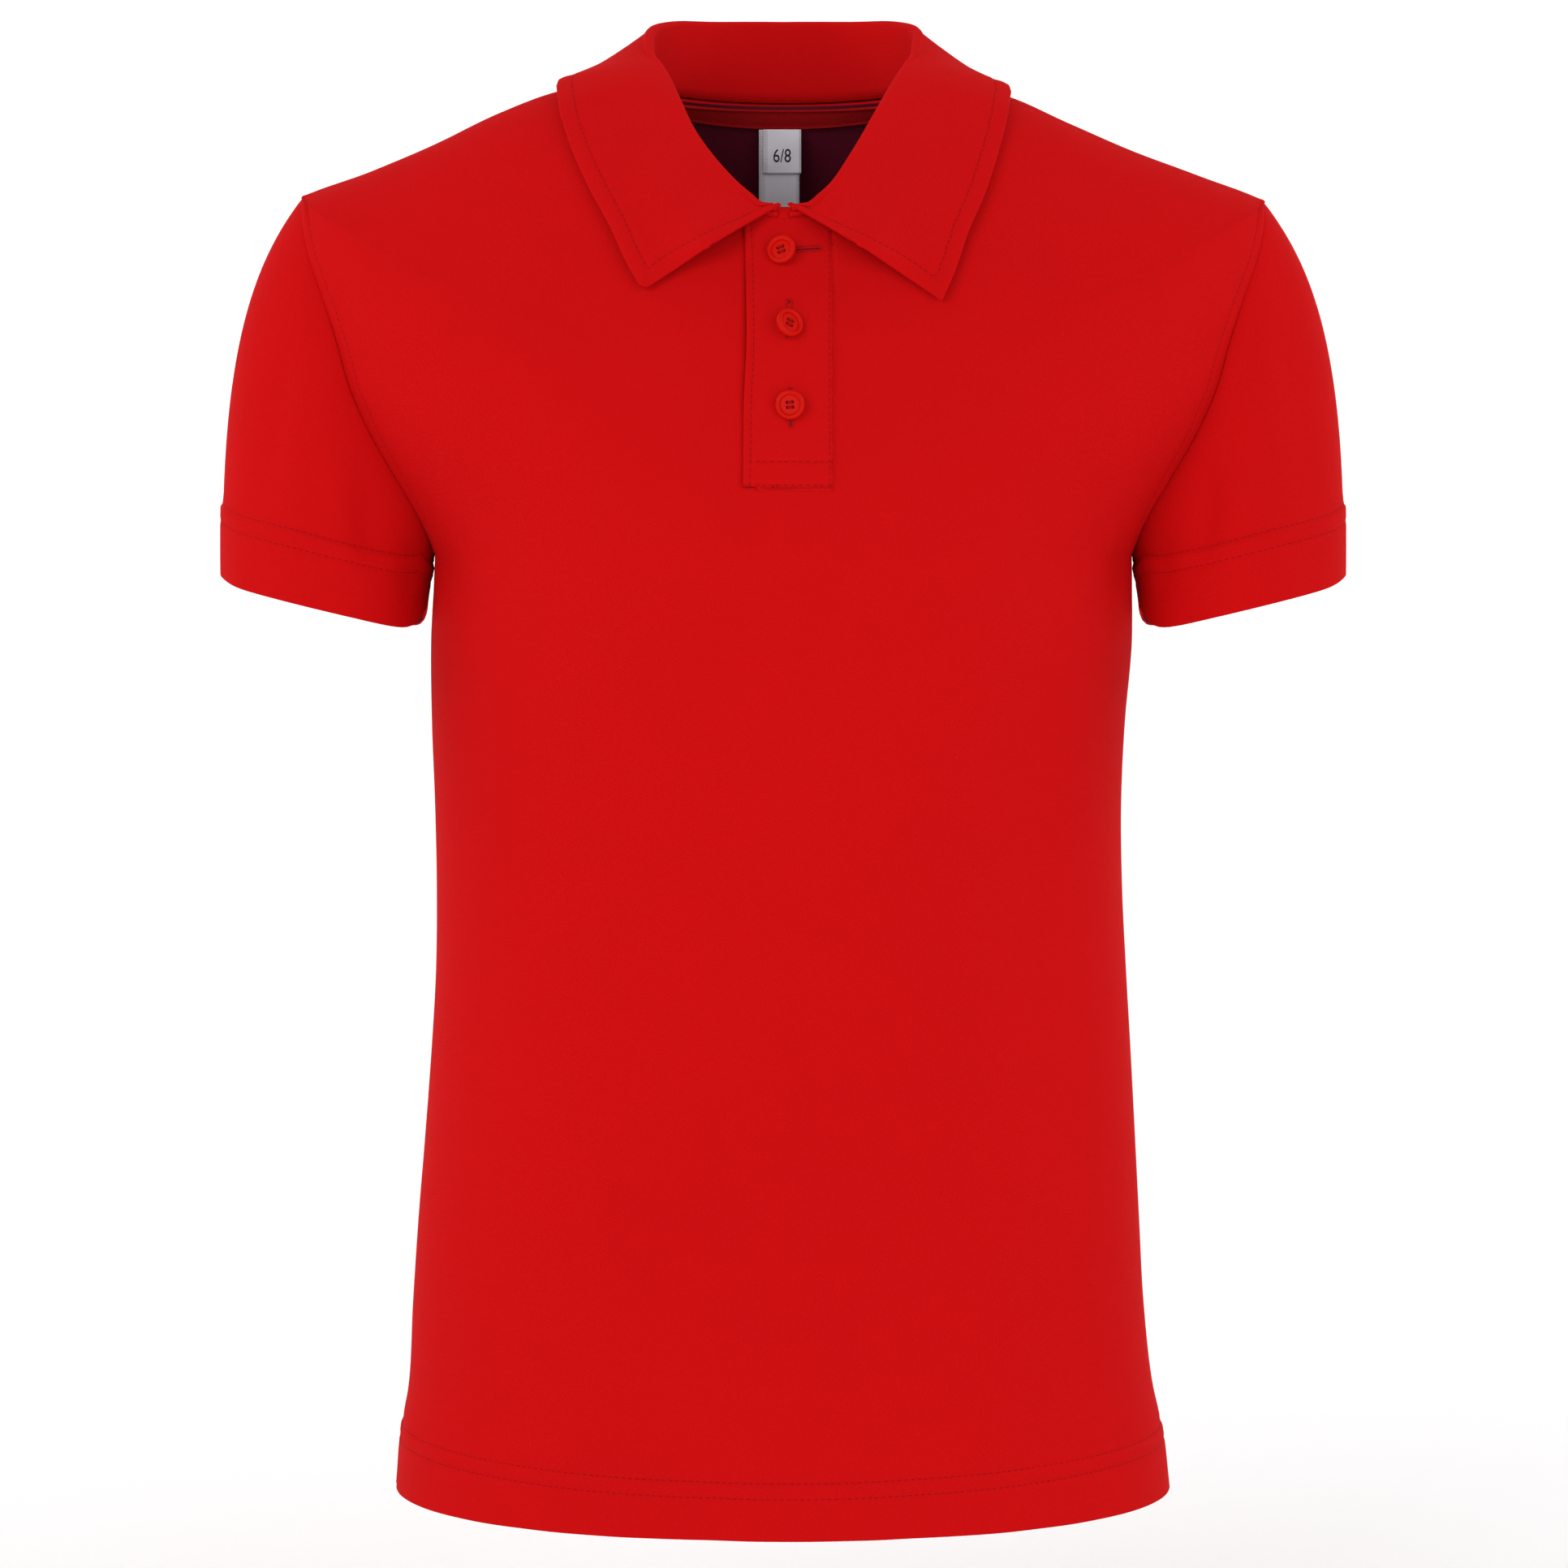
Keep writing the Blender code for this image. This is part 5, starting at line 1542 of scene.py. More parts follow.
def seat_on_placket(button):
    """Place and outward direction on the placket under a button."""
    outer = placket_front.reshape(-1, 3)
    nearest = np.argmin(np.hypot(outer[:, 0] - button.x, outer[:, 2] + button.drop))
    return outer[nearest], top_facing.reshape(-1, 3)[nearest]


def add_button(index, button, blank):
    obj = bpy.data.objects.new(f"button_{index}_gloss", blank.data.copy())
    scene.collection.objects.link(obj)
    seat, normal = seat_on_placket(button)
    slope = math.degrees(math.asin(normal[2]))
    turned = Euler((math.radians(90 - slope - button.tip_up), 0, math.radians(button.tip_right))).to_matrix()
    spun = turned @ Euler((0, 0, math.radians(button.turn))).to_matrix()
    points = np.array([spun @ vert.co for vert in obj.data.vertices])
    shift = (seat + normal * BUTTON_THREAD) * MM - normal * (points @ normal).min()
    points += shift
    for vert, point in zip(obj.data.vertices, points):
        vert.co = point
    obj.data.shade_smooth()
    obj.data.set_sharp_from_angle(angle=math.radians(50))
    pieces[f"button_{index}"] = obj
    return np.array(spun), shift


blank = lathe("button_blank", button_profile(), BUTTON_SIDES)
drill_holes(blank)
button_frames = [add_button(index, button, blank) for index, button in enumerate(BUTTONS, start=1)]
bpy.data.objects.remove(blank)
print("buttons:", len(BUTTONS), "of", len(pieces["button_1"].data.polygons), "faces")

# %% [markdown]
# ## Materials
# The knit is drawn from the cloth's own UV map, in metres. A group makes the loops once for every material
# that needs them: columns of small slanted strokes, whose height feeds a bump. A second group gives the slow
# unevenness that dyed cotton has. Sheen, which is the nap catching light, stays on each shader.

# %% node helpers
def new_group(name, inputs, outputs):
    group = bpy.data.node_groups.new(name, "ShaderNodeTree")
    for socket, kind, value in inputs:
        made = group.interface.new_socket(socket, in_out="INPUT", socket_type=kind)
        if value is not None:
            made.default_value = value
    for socket, kind in outputs:
        group.interface.new_socket(socket, in_out="OUTPUT", socket_type=kind)
    return group, group.nodes.new("NodeGroupInput"), group.nodes.new("NodeGroupOutput")


def math_node(tree, operation, first, second=None):
    node = tree.nodes.new("ShaderNodeMath")
    node.operation = operation
    for socket, value in zip(node.inputs, (first, second)):
        if value is None:
            continue
        if isinstance(value, (int, float)):
            socket.default_value = value
        else:
            tree.links.new(value, socket)
    return node.outputs[0]


# %% knit group
def knit_group():
    """Height of a plain knit: two slanted strokes in every stitch, columns side by side."""
    group, given, made = new_group(
        "knit_loops",
        [
            ("Across", "NodeSocketFloat", 0.0),
            ("Down", "NodeSocketFloat", 0.0),
            ("Wale", "NodeSocketFloat", 0.0008),
            ("Course", "NodeSocketFloat", 0.0006),
        ],
        [("Height", "NodeSocketFloat"), ("Gap", "NodeSocketFloat")],
    )
    across = math_node(group, "DIVIDE", given.outputs["Across"], given.outputs["Wale"])
    down = math_node(group, "DIVIDE", given.outputs["Down"], given.outputs["Course"])
    in_wale = math_node(group, "FRACT", across)
    from_middle = math_node(group, "ABSOLUTE", math_node(group, "SUBTRACT", in_wale, 0.5))
    slanted = math_node(group, "ADD", down, math_node(group, "MULTIPLY", from_middle, 1.3))
    wave = math_node(group, "SINE", math_node(group, "MULTIPLY", slanted, 2 * math.pi))
    stroke = math_node(group, "ADD", math_node(group, "MULTIPLY", wave, 0.5), 0.5)
    leg = math_node(group, "SINE", math_node(group, "MULTIPLY", from_middle, 2 * math.pi))
    height = math_node(group, "MULTIPLY", math_node(group, "SQRT", math_node(group, "ABSOLUTE", leg)), stroke)
    group.links.new(height, made.inputs["Height"])
    gap = math_node(group, "SUBTRACT", 1.0, height)
    group.links.new(math_node(group, "POWER", gap, 4.0), made.inputs["Gap"])
    return group


def tone_group():
    """Slow and fine unevenness of a dyed cloth, as a factor round 1."""
    group, given, made = new_group(
        "dyed_tone",
        [("Vector", "NodeSocketVector", None), ("Strength", "NodeSocketFloat", 0.05)],
        [("Factor", "NodeSocketFloat")],
    )
    total = None
    for scale, share in ((9.0, 0.45), (60.0, 0.3), (900.0, 0.25)):
        noise = group.nodes.new("ShaderNodeTexNoise")
        noise.inputs["Scale"].default_value = scale
        noise.inputs["Detail"].default_value = 2.0
        group.links.new(given.outputs["Vector"], noise.inputs["Vector"])
        centred = math_node(group, "SUBTRACT", noise.outputs["Fac"], 0.5)
        centred = math_node(group, "MULTIPLY", centred, 2 * share)
        total = centred if total is None else math_node(group, "ADD", total, centred)
    scaled = math_node(group, "MULTIPLY", total, given.outputs["Strength"])
    group.links.new(math_node(group, "ADD", scaled, 1.0), made.inputs["Factor"])
    return group


KNIT = knit_group()
TONE = tone_group()
print("groups:", KNIT.name, TONE.name)


# %% cloth materials
def new_material(name, colour, roughness):
    material = bpy.data.materials.new(name)
    material.use_nodes = True
    shader = material.node_tree.nodes["Principled BSDF"]
    shader.inputs["Base Color"].default_value = (*colour, 1.0)
    shader.inputs["Roughness"].default_value = roughness
    return material, material.node_tree, shader


def toned_colour(tree, shader, colour, strength, shade=None):
    """Base colour times the dyed tone, and darker in the gaps of the knit."""
    place = tree.nodes.new("ShaderNodeTexCoord")
    tone = tree.nodes.new("ShaderNodeGroup")
    tone.node_tree = TONE
    tone.inputs["Strength"].default_value = strength
    tree.links.new(place.outputs["Object"], tone.inputs["Vector"])
    factor = tone.outputs["Factor"]
    if shade is not None:
        factor = math_node(tree, "MULTIPLY", factor, shade)
    mix = tree.nodes.new("ShaderNodeMix")
    mix.data_type = "RGBA"
    mix.blend_type = "MULTIPLY"
    mix.inputs["Factor"].default_value = 1.0
    mix.inputs[6].default_value = (*colour, 1.0)
    grey = tree.nodes.new("ShaderNodeCombineColor")
    for channel_name in ("Red", "Green", "Blue"):
        tree.links.new(factor, grey.inputs[channel_name])
    tree.links.new(grey.outputs["Color"], mix.inputs[7])
    tree.links.new(mix.outputs[2], shader.inputs["Base Color"])


def knit_material(name, colour, wale, course, depth, gap_shade=0.08):
    material, tree, shader = new_material(name, colour, 0.85)
    shader.inputs["Specular IOR Level"].default_value = 0.03
    shader.inputs["Sheen Weight"].default_value = 0.05
    shader.inputs["Sheen Roughness"].default_value = 0.5
    shader.inputs["Sheen Tint"].default_value = (1.0, 0.03, 0.03, 1.0)
    uv = tree.nodes.new("ShaderNodeUVMap")
    uv.uv_map = "cloth"
    split = tree.nodes.new("ShaderNodeSeparateXYZ")
    tree.links.new(uv.outputs["UV"], split.inputs["Vector"])
    knit = tree.nodes.new("ShaderNodeGroup")
    knit.node_tree = KNIT
    knit.inputs["Wale"].default_value = wale
    knit.inputs["Course"].default_value = course
    tree.links.new(split.outputs["X"], knit.inputs["Across"])
    tree.links.new(split.outputs["Y"], knit.inputs["Down"])
    shade = math_node(tree, "SUBTRACT", 1.0, math_node(tree, "MULTIPLY", knit.outputs["Gap"], gap_shade))
    toned_colour(tree, shader, colour, 0.07, shade)
    raised = tree.nodes.new("ShaderNodeBump")
    raised.inputs["Strength"].default_value = 0.3
    raised.inputs["Distance"].default_value = depth
    tree.links.new(knit.outputs["Height"], raised.inputs["Height"])
    tree.links.new(raised.outputs["Normal"], shader.inputs["Normal"])
    return material


WALE = 0.00085  # one column of loops
COURSE = 0.00062  # one row of loops
RED = (0.595, 0.0040, 0.0050)
COLLAR_RED = (0.585, 0.0040, 0.0050)
TAPE_RED = (0.40, 0.008, 0.010)
INSIDE_PAINTED_SHADE_RED = (0.150, 0.0110, 0.0300)  # painted shade: darker and cooler than the outside, standing in for the shadow inside the shirt
red_knit = knit_material("red_knit", RED, WALE, COURSE, 0.00018)
collar_knit = knit_material("collar_knit", COLLAR_RED, WALE, COURSE, 0.00018)
tape_knit = knit_material("tape_knit", TAPE_RED, 0.0016, 0.0005, 0.00030)
inside_painted_shade_knit = knit_material("inside_painted_shade_knit", INSIDE_PAINTED_SHADE_RED, 0.0011, 0.0008, 0.00030, 0.55)
FINISHES = dict.fromkeys(("front", "back", "sleeve_left", "sleeve_right"), red_knit)
FINISHES.update(dict.fromkeys(("placket_top", "placket_under"), red_knit))
FINISHES.update({"collar": collar_knit, "neck_tape": tape_knit})
print("knits:", len(FINISHES), "pieces")


# %% satin, button and thread
SATIN_RIB = 0.00045
BORDER_REPEAT = 0.0016
BORDER_WIDTH = 0.0014
LABEL_HALF_WIDTH = 0.0074


def satin_material():
    colour = (0.90, 0.90, 0.97)
    material, tree, shader = new_material("white_satin", colour, 0.38)
    shader.inputs["Sheen Weight"].default_value = 0.15
    shader.inputs["Anisotropic"].default_value = 0.4
    uv = tree.nodes.new("ShaderNodeUVMap")
    uv.uv_map = "cloth"
    split = tree.nodes.new("ShaderNodeSeparateXYZ")
    tree.links.new(uv.outputs["UV"], split.inputs["Vector"])
    across, down = split.outputs["X"], split.outputs["Y"]
    ribs = math_node(tree, "SINE", math_node(tree, "MULTIPLY", down, 2 * math.pi / SATIN_RIB))
    waves = []
    for operation in ("ADD", "SUBTRACT"):
        slant = math_node(tree, operation, across, down)
        waves.append(math_node(tree, "SINE", math_node(tree, "MULTIPLY", slant, 2 * math.pi / BORDER_REPEAT)))
    zigzag = math_node(tree, "MULTIPLY", *waves)
    from_middle = math_node(tree, "ABSOLUTE", across)
    border = math_node(tree, "GREATER_THAN", from_middle, LABEL_HALF_WIDTH - BORDER_WIDTH)
    woven = math_node(tree, "MULTIPLY", border, zigzag)
    height = math_node(tree, "ADD", math_node(tree, "MULTIPLY", ribs, 0.3), woven)
    raised = tree.nodes.new("ShaderNodeBump")
    raised.inputs["Strength"].default_value = 0.6
    raised.inputs["Distance"].default_value = 0.0001
    tree.links.new(height, raised.inputs["Height"])
    tree.links.new(raised.outputs["Normal"], shader.inputs["Normal"])
    darker = math_node(tree, "MULTIPLY", math_node(tree, "ADD", woven, border), 0.16)
    toned_colour(tree, shader, colour, 0.05, math_node(tree, "SUBTRACT", 1.0, darker))
    return material


def button_material():
    colour = (0.60, 0.0050, 0.0015)
    material, tree, shader = new_material("red_button", colour, 0.3)
    shader.inputs["Specular IOR Level"].default_value = 0.06
    toned_colour(tree, shader, colour, 0.10)
    place = tree.nodes.new("ShaderNodeTexCoord")
    noise = tree.nodes.new("ShaderNodeTexNoise")
    noise.inputs["Scale"].default_value = 700.0
    tree.links.new(place.outputs["Object"], noise.inputs["Vector"])
    worn = tree.nodes.new("ShaderNodeMapRange")
    worn.inputs["To Min"].default_value = 0.26
    worn.inputs["To Max"].default_value = 0.38
    tree.links.new(noise.outputs["Fac"], worn.inputs["Value"])
    tree.links.new(worn.outputs["Result"], shader.inputs["Roughness"])
    return material


def thread_material(name, colour):
    material, tree, shader = new_material(name, colour, 0.7)
    shader.inputs["Specular IOR Level"].default_value = 0.08
    toned_colour(tree, shader, colour, 0.12)
    return material


FINISHES["label_main"] = FINISHES["label_size"] = satin_material()
red_gloss = button_material()
for index in range(1, len(BUTTONS) + 1):
    FINISHES[f"button_{index}"] = red_gloss
red_thread = thread_material("red_thread", (0.46, 0.004, 0.006))
dark_thread = thread_material("dark_thread", (0.32, 0.004, 0.006))
# painted shade: the slit's dark colour stands in for the shadow in the buttonhole's cut
slit_painted_shade = thread_material("slit_painted_shade", (0.160, 0.004, 0.006))
black_ink = thread_material("black_ink", (0.020, 0.020, 0.024))
print("finishes:", len({finish.name for finish in FINISHES.values()}) + 5)

# %% [markdown]
# ## Sewing thread
# A sewn row is hundreds of short threads at one pitch, so Geometry Nodes lay them: the row's line is cut into
# equal steps, and a small rounded thread lies on each, along the line and flat on the cloth. Each line
# carries the cloth's own direction as an attribute, so one tree serves hems, edges, buttonholes and buttons.

# %% stitch tree
def stitch_tree():
    tree = bpy.data.node_groups.new("sewn_stitches", "GeometryNodeTree")
    made = tree.interface
    made.new_socket("Geometry", in_out="INPUT", socket_type="NodeSocketGeometry")
    for name in ("Spacing", "Length", "Width", "Rise", "Turn", "Jitter"):
        made.new_socket(name, in_out="INPUT", socket_type="NodeSocketFloat")
    made.new_socket("Seed", in_out="INPUT", socket_type="NodeSocketInt")
    made.new_socket("Material", in_out="INPUT", socket_type="NodeSocketMaterial")
    made.new_socket("Geometry", in_out="OUTPUT", socket_type="NodeSocketGeometry")
    given, result = tree.nodes.new("NodeGroupInput").outputs, tree.nodes.new("NodeGroupOutput").inputs

    def node(kind, links=(), **settings):
        added = tree.nodes.new(kind)
        for name, value in settings.items():
            setattr(added, name, value)
        for key, source in links:
            if isinstance(source, bpy.types.NodeSocket):
                tree.links.new(source, added.inputs[key])
            else:
                added.inputs[key].default_value = source
        return added

    facing = node("GeometryNodeInputNamedAttribute", [("Name", "facing")], data_type="FLOAT_VECTOR")
    line = node("GeometryNodeMeshToCurve", [("Mesh", given["Geometry"])])
    steps = [("Curve", line.outputs["Curve"]), ("Length", given["Spacing"])]
    spaced = node("GeometryNodeResampleCurve", steps, mode="LENGTH")
    lift = [(0, facing.outputs[0]), ("Scale", given["Rise"])]
    lifted = node("ShaderNodeVectorMath", lift, operation="SCALE")
    placed = node("GeometryNodeSetPosition", [("Geometry", spaced.outputs[0]), ("Offset", lifted.outputs[0])])
    tangent = node("GeometryNodeInputTangent")
    along = node("FunctionNodeAlignRotationToVector", [("Vector", tangent.outputs[0])], axis="X")
    flat_links = [("Rotation", along.outputs[0]), ("Vector", facing.outputs[0])]
    flat = node("FunctionNodeAlignRotationToVector", flat_links, axis="Z", pivot_axis="X")
    least = node("ShaderNodeMath", [(0, given["Turn"]), (1, given["Jitter"])], operation="SUBTRACT")
    most = node("ShaderNodeMath", [(0, given["Turn"]), (1, given["Jitter"])], operation="ADD")
    limits = [(2, least.outputs[0]), (3, most.outputs[0]), ("Seed", given["Seed"])]
    turn = node("FunctionNodeRandomValue", limits, data_type="FLOAT")
    euler = node("ShaderNodeCombineXYZ", [("Z", turn.outputs[1])])
    spin = node("FunctionNodeEulerToRotation", [(0, euler.outputs[0])])
    turned_links = [("Rotation", flat.outputs[0]), ("Rotate By", spin.outputs[0])]
    turned = node("FunctionNodeRotateRotation", turned_links, rotation_space="LOCAL")
    sizes = [("X", given["Length"]), ("Y", given["Width"]), ("Z", given["Width"])]
    size = node("ShaderNodeCombineXYZ", sizes)
    thread = node("GeometryNodeMeshUVSphere", [("Segments", 8), ("Rings", 5), ("Radius", 0.5)])
    copies = [
        ("Points", placed.outputs[0]),
        ("Instance", thread.outputs["Mesh"]),
        ("Rotation", turned.outputs[0]),
        ("Scale", size.outputs[0]),
    ]
    laid = node("GeometryNodeInstanceOnPoints", copies)
    real = node("GeometryNodeRealizeInstances", [("Geometry", laid.outputs[0])])
    dyed = node("GeometryNodeSetMaterial", [("Geometry", real.outputs[0]), ("Material", given["Material"])])
    tree.links.new(dyed.outputs[0], result["Geometry"])
    return tree


STITCHES = stitch_tree()
print("stitch tree:", len(STITCHES.nodes), "nodes")

# %% stitch helper
Stitch = namedtuple("Stitch", "spacing length width rise turn jitter thread")
TOPSTITCH = Stitch(2.4, 1.7, 0.34, 0.03, 0.0, 0.05, dark_thread)
TAPE_STITCH = Stitch(1.1, 1.5, 0.35, 0.05, 0.9, 0.2, dark_thread)
SEWN_EDGE = Stitch(0.42, 1.15, 0.40, 0.05, math.pi / 2, 0.30, red_thread)
BUTTON_STRAND = Stitch(0.16, 0.42, 0.26, 0.0, 0.6, 0.15, dark_thread)
sewing = {}  # stitches and print, by the piece that they are on


def add_stitches(name, carrier, rows, stitch):
    """Stitches along every row, a pair of points in millimetres and outward directions."""
    edges, start = [], 0
    for points, _ in rows:
        edges += [(start + i, start + i + 1) for i in range(len(points) - 1)]
        start += len(points)
    data = bpy.data.meshes.new(name)
    data.from_pydata((np.concatenate([points for points, _ in rows]) * MM).tolist(), edges, [])
    facing = np.concatenate([directions for _, directions in rows]).astype(np.float32)
    data.attributes.new("facing", "FLOAT_VECTOR", "POINT").data.foreach_set("vector", facing.ravel())
    obj = bpy.data.objects.new(name, data)
    scene.collection.objects.link(obj)
    modifier = obj.modifiers.new("stitches", "NODES")
    modifier.node_group = STITCHES
    values = {
        "Spacing": stitch.spacing * MM,
        "Length": stitch.length * MM,
        "Width": stitch.width * MM,
        "Rise": stitch.rise * MM,
        "Turn": stitch.turn,
        "Jitter": stitch.jitter,
        "Seed": len(sewing) + 1,
        "Material": stitch.thread,
    }
    for socket in STITCHES.interface.items_tree:
        if socket.in_out == "INPUT" and socket.name in values:
            modifier[socket.identifier] = values[socket.name]
    apply_modifiers(obj)
    obj.data.shade_smooth()
    sewing[name] = (obj, carrier)
    return obj


# %% rows on the panels and sleeves
def panel_stitches(panel):
    outer, facing = skins[panel]
    rows = []
    for place in HEM_STITCHES:
        row = int(np.argmin(np.abs(ROWS - PLACES[HEM_LINE] - place)))
        rows.append((outer[row], facing[row]))
    beside = (ROWS > PLACES[FIRST_ARMHOLE_RING]) & (ROWS < PLACES[UNDERARM_RING] - ARMHOLE_ROW_END)
    step = SEAM_STEPS.index(ARMHOLE_STITCH)
    for col in (step, -1 - step):
        rows.append((outer[beside, col], facing[beside, col]))
    return rows


def sleeve_stitches(name):
    outer, facing = skins[name]
    rows = []
    for row in (len(SLEEVE_SHARES) - 1, len(SLEEVE_SHARES) + BAND_SHARES.index(CUFF_STITCHES[1])):
        ring = [*range(outer.shape[1]), 0]
        rows.append((outer[row, ring], facing[row, ring]))
    return rows


for panel in panels:
    add_stitches(panel + "_stitches", panel, panel_stitches(panel), TOPSTITCH)
for side in SIDE_SIGNS:
    name = "sleeve_" + side
    add_stitches(name + "_stitches", name, sleeve_stitches(name), TOPSTITCH)
print("stitches:", {name: len(obj.data.polygons) for name, (obj, _) in sewing.items()})


# %% rows on the collar, the placket and the tape
def collar_stitches():
    """One row round the fall: down a front edge, along the free edge and up the other front edge."""
    outer, facing = skins["collar"]
    step = RIM_STEPS.index(COLLAR_STITCH)
    low = outer.shape[0] - 1 - step
    last = outer.shape[1] - 1 - step
    down = [(row, step) for row in range(fall_start + 1, low)]
    across = [(low, col) for col in range(step, last + 1)]
    up = [(row, last) for row in range(low - 1, fall_start, -1)]
    path = down + across + up
    return [(np.array([outer[spot] for spot in path]), np.array([facing[spot] for spot in path]))]


def placket_stitches():
    edge_column = int(np.argmin(np.abs(top_from_left[0] - PLACKET_STITCH)))
    from_right = top_from_left[:, -1:] - top_from_left
    inner_column = int(np.argmin(np.abs(from_right[0] - PLACKET_INNER_STITCH)))
    rows = []
    for col in (edge_column, inner_column):
        rows.append((placket_front[2:-1, col], top_facing[2:-1, col]))
    for place in (*BOX_STITCHES, TOP_BAND_STITCH):
        row = int(np.argmin(np.abs(top_above_end - place)))
        between = slice(edge_column, inner_column + 1)
        rows.append((placket_front[row, between], top_facing[row, between]))
    return rows


TOP_BAND = 5.2  # its stitches lie this far below the strip's upper end
TOP_BAND_STITCH = float(top_above_end[0]) - TOP_BAND
add_stitches("collar_topstitch", "collar", collar_stitches(), TOPSTITCH)
add_stitches("placket_stitches", "placket_top", placket_stitches(), TOPSTITCH)
tape_rows = [int(np.argmin(np.abs(TAPE_SHARES - share))) for share in TAPE_STITCHES]
tape_lines = [(tape_top[row], tape_facing[row]) for row in tape_rows]
add_stitches("tape_stitches", "neck_tape", tape_lines, TAPE_STITCH)
print("stitched pieces:", len(sewing))

# %% [markdown]
# ## Buttonholes and button thread
# A buttonhole is a slit with thread wound closely over both its edges. Its threads lie across the line that
# they follow, so the same tree sews it with a quarter turn. Strands in pairs of holes hold the buttons.

# %% buttonholes
Buttonhole = namedtuple("Buttonhole", "x drop length turn")
BUTTONHOLES = [
    Buttonhole(7.2, 63.4, 12.6, 86.0),
    Buttonhole(1.9, 88.4, 13.6, 2.0),
    Buttonhole(2.5, 120.0, 13.8, -1.0),
]
BUTTONHOLE_HALF_WIDTH = 0.95
SLIT_HALF_WIDTH = 0.24
SLIT_RISE = 0.05
ARC_STEPS = 8


def placket_tree():
    mesh = bmesh.new()
    mesh.from_mesh(pieces["placket_top"].data)
    tree = BVHTree.FromBMesh(mesh)
    mesh.free()
    return tree


PLACKET_TREE = placket_tree()


def on_placket(x, drop):
    """Point of the placket's face straight behind a place in the front view, and its direction."""
    place, normal, _, _ = PLACKET_TREE.ray_cast(Vector((x * MM, -1.0, -drop * MM)), Vector((0.0, 1.0, 0.0)))
    return np.array(place) / MM, np.array(normal)


def long_oval(hole, half_width):
    """Closed outline of a buttonhole: two straight edges and two round ends."""
    reach = hole.length / 2 - half_width
    outline = []
    for end in (1, -1):
        for step in range(ARC_STEPS + 1):
            turn = math.pi * step / ARC_STEPS
            outline.append((end * half_width * math.cos(turn), end * (reach + half_width * math.sin(turn))))
    cos, sin = math.cos(math.radians(hole.turn)), math.sin(math.radians(hole.turn))
    turned = [(u * cos + v * sin, v * cos - u * sin) for u, v in outline]
    return [on_placket(hole.x + u, hole.drop - v) for u, v in turned]


# A slit is a thin dark sheet on the placket; its dark colour is painted shade of the cut.
def add_slit(index, hole):
    outline = long_oval(hole, SLIT_HALF_WIDTH)
    low = [place - normal * SLIT_RISE for place, normal in outline]
    high = [place + normal * SLIT_RISE for place, normal in outline]
    count = len(outline)
    faces = [list(range(count)), list(range(count, 2 * count))]
    faces += [[i, (i + 1) % count, count + (i + 1) % count, count + i] for i in range(count)]
    data = bpy.data.meshes.new("slit")
    data.from_pydata((np.array(low + high) * MM).tolist(), [], faces)
    obj = add_piece(f"buttonhole_{index}_slit", data)
    data.materials.append(slit_painted_shade)
    sewing[obj.name] = (obj, "placket_top")


for index, hole in enumerate(BUTTONHOLES, start=1):
    add_slit(index, hole)
    outline = long_oval(hole, BUTTONHOLE_HALF_WIDTH)
    closed = outline + outline[:1]
    row = (np.array([place for place, _ in closed]), np.array([normal for _, normal in closed]))
    add_stitches(f"buttonhole_{index}_thread", "placket_top", [row], SEWN_EDGE)
print("buttonholes:", len(BUTTONHOLES))

# %% button thread
STRAND_OFFSETS = (-0.24, 0.0, 0.24)
STRAND_HUMP = 0.42


def add_button_thread(index, turned, shift):
    """Two bars of thread, each of three strands that run from one hole over to the next."""
    floor = BUTTON_THICKNESS - DISH_DEPTH
    side = HOLE_SPREAD * math.sqrt(0.5)
    rows = []
    for bar in (-side, side):
        for offset in STRAND_OFFSETS:
            turns = np.linspace(0, math.pi, 9)
            u = -side * np.cos(turns) * 1.12
            height = floor - 0.5 + (0.5 + STRAND_HUMP) * np.sin(turns) ** 0.6
            local = np.stack([u, np.full(9, bar + offset), height], axis=1)
            points = local @ turned.T + shift / MM
            rows.append((points, np.repeat([turned[:, 2]], 9, axis=0)))
    add_stitches(f"button_{index}_thread", f"button_{index}", rows, BUTTON_STRAND)


for index, (turned, shift) in enumerate(button_frames, start=1):
    add_button_thread(index, turned, shift)
print("button thread:", len(button_frames))

# %% [markdown]
# ## The size number
# The plain size number is printed on the small label. Text is made a flat mesh first, then bent onto the
# label's own face, so it follows the curl of the satin.

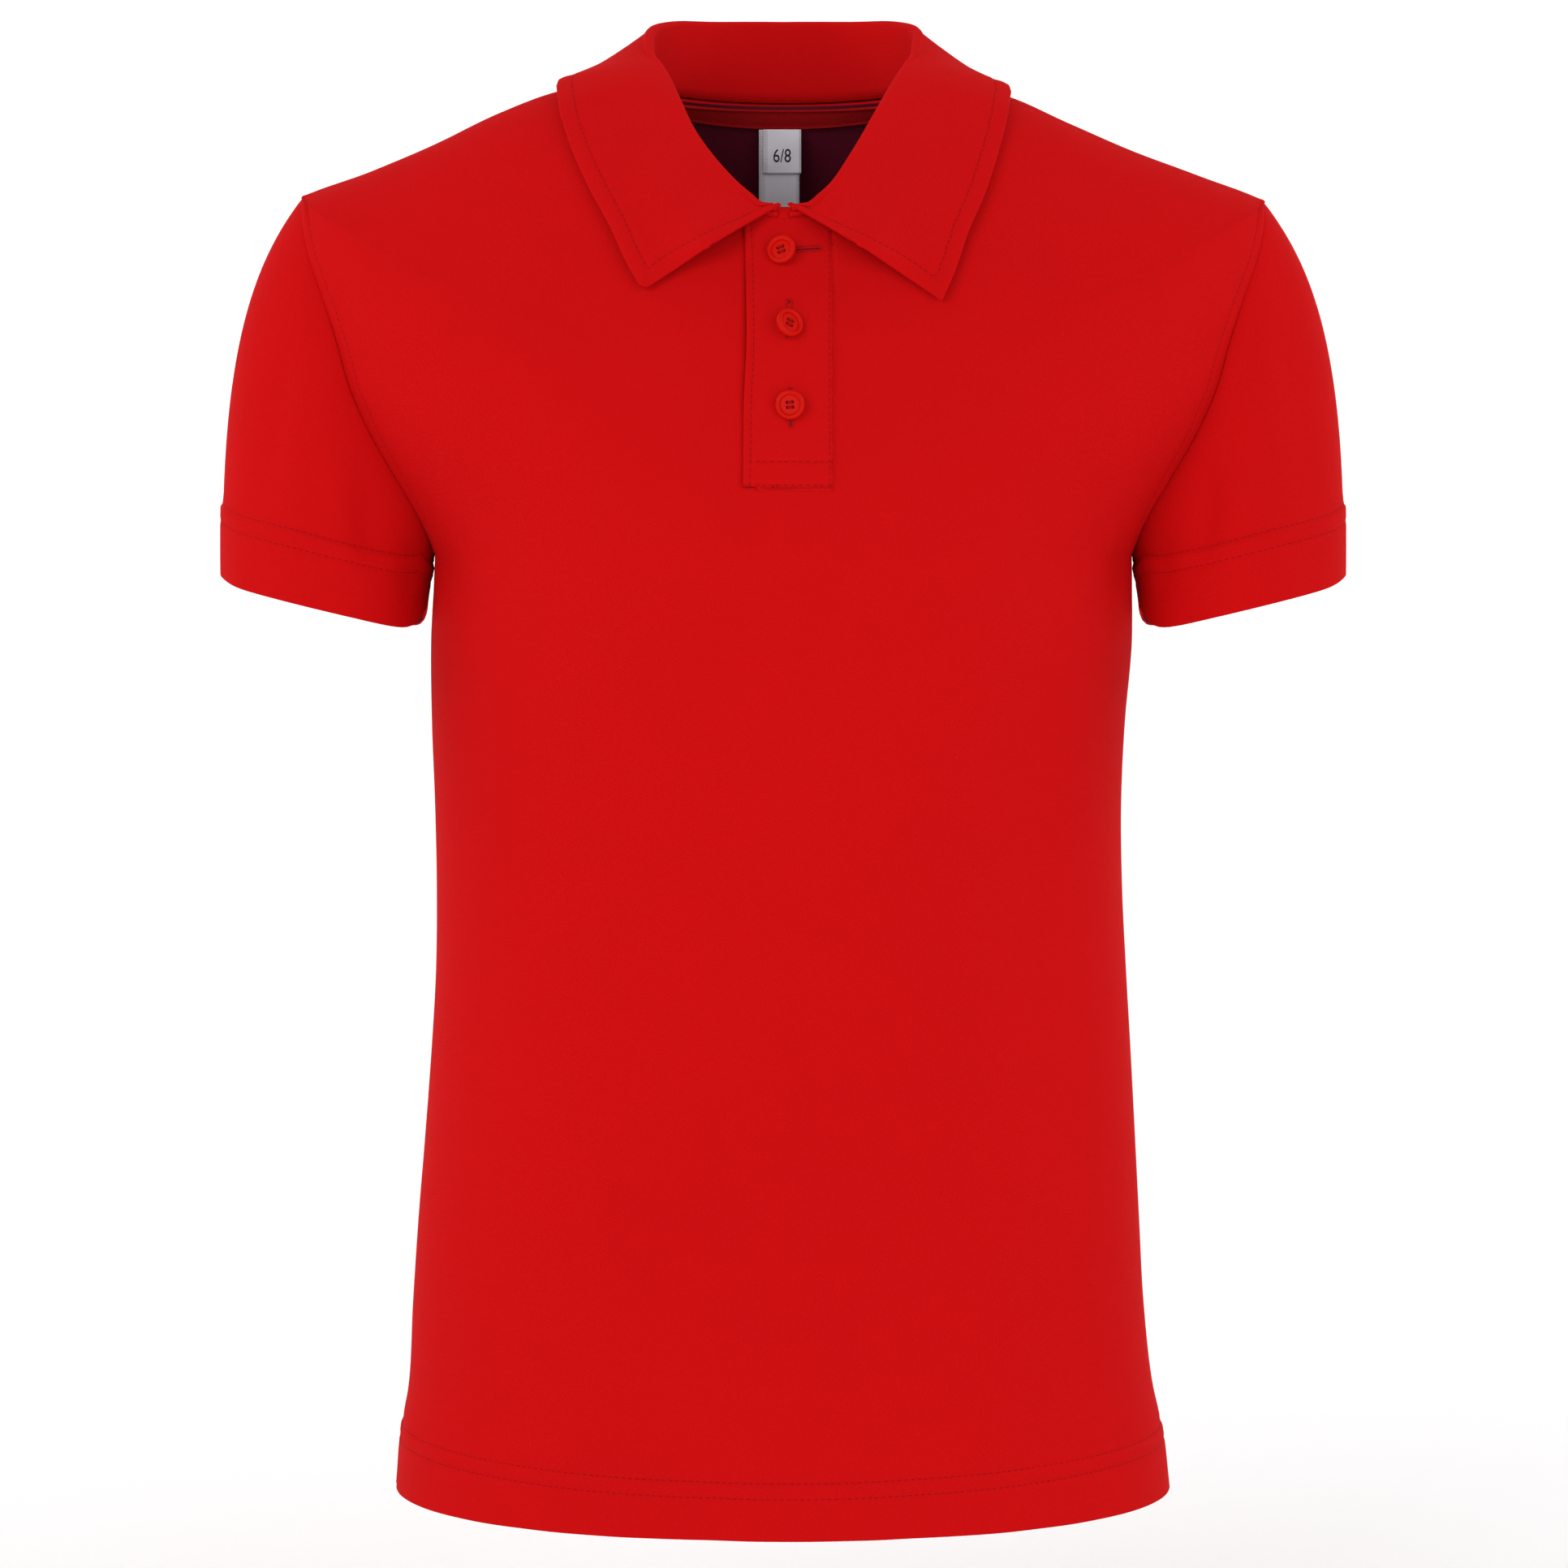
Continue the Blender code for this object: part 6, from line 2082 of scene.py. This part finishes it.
# %% size number
NUMBER_WIDTH = 6.6
NUMBER_HEIGHT = 5.0
NUMBER_X = -0.4
NUMBER_DROP = 20.4
INK = 0.07


def add_size_number(label):
    text = bpy.data.curves.new("size_number", "FONT")
    text.body = "6/8"
    text.resolution_u = 6
    text.extrude = 0.01
    lettering = bpy.data.objects.new("size_number_text", text)
    scene.collection.objects.link(lettering)
    bpy.context.view_layer.update()
    shown = lettering.evaluated_get(bpy.context.evaluated_depsgraph_get())
    data = bpy.data.meshes.new_from_object(shown)
    bpy.data.objects.remove(lettering)
    flat = np.array([vert.co for vert in data.vertices])
    low, high = flat.min(axis=0), flat.max(axis=0)
    share = (flat - low) / (high - low)
    x = NUMBER_X + (share[:, 0] - 0.5) * NUMBER_WIDTH
    drop = NUMBER_DROP - (share[:, 1] - 0.5) * NUMBER_HEIGHT
    middle, half = (label.left + label.right) / 2, (label.right - label.left) / 2
    points = label_face(label, (drop - label.drop) / label.length, (x - middle) / half)
    points[:, 1] -= INK * (2 * share[:, 2] - 0.5)
    for vert, point in zip(data.vertices, points):
        vert.co = point * MM
    mesh = bmesh.new()
    mesh.from_mesh(data)
    bmesh.ops.remove_doubles(mesh, verts=mesh.verts, dist=1e-6)
    mesh.to_mesh(data)
    mesh.free()
    obj = add_piece("size_number_print", data)
    data.materials.clear()
    data.materials.append(black_ink)
    sewing[obj.name] = (obj, "label_size")


add_size_number(LABELS[1])
print("number:", len(sewing["size_number_print"][0].data.polygons), "faces")

# %% [markdown]
# ## Into the frame
# Each piece takes its finish, rides on the shirt's one body and stands for its solid.


# The panels and sleeves take the inside knit on their inner skins; its darker, cooler colour is painted
# shade.
TWO_SIDED = ("front", "back", "sleeve_left", "sleeve_right")
for name, piece in pieces.items():
    piece.data.materials.append(FINISHES[name])
    piece.data.materials.append(inside_painted_shade_knit if name in TWO_SIDED else FINISHES[name])
    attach(piece, "root")
    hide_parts(name)
for piece, carrier in sewing.values():
    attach(piece, "root")
print("pieces:", len(pieces), "and", len(sewing), "sewn or printed on them")

# %% sheets
Sheet = namedtuple("Sheet", "width length area")
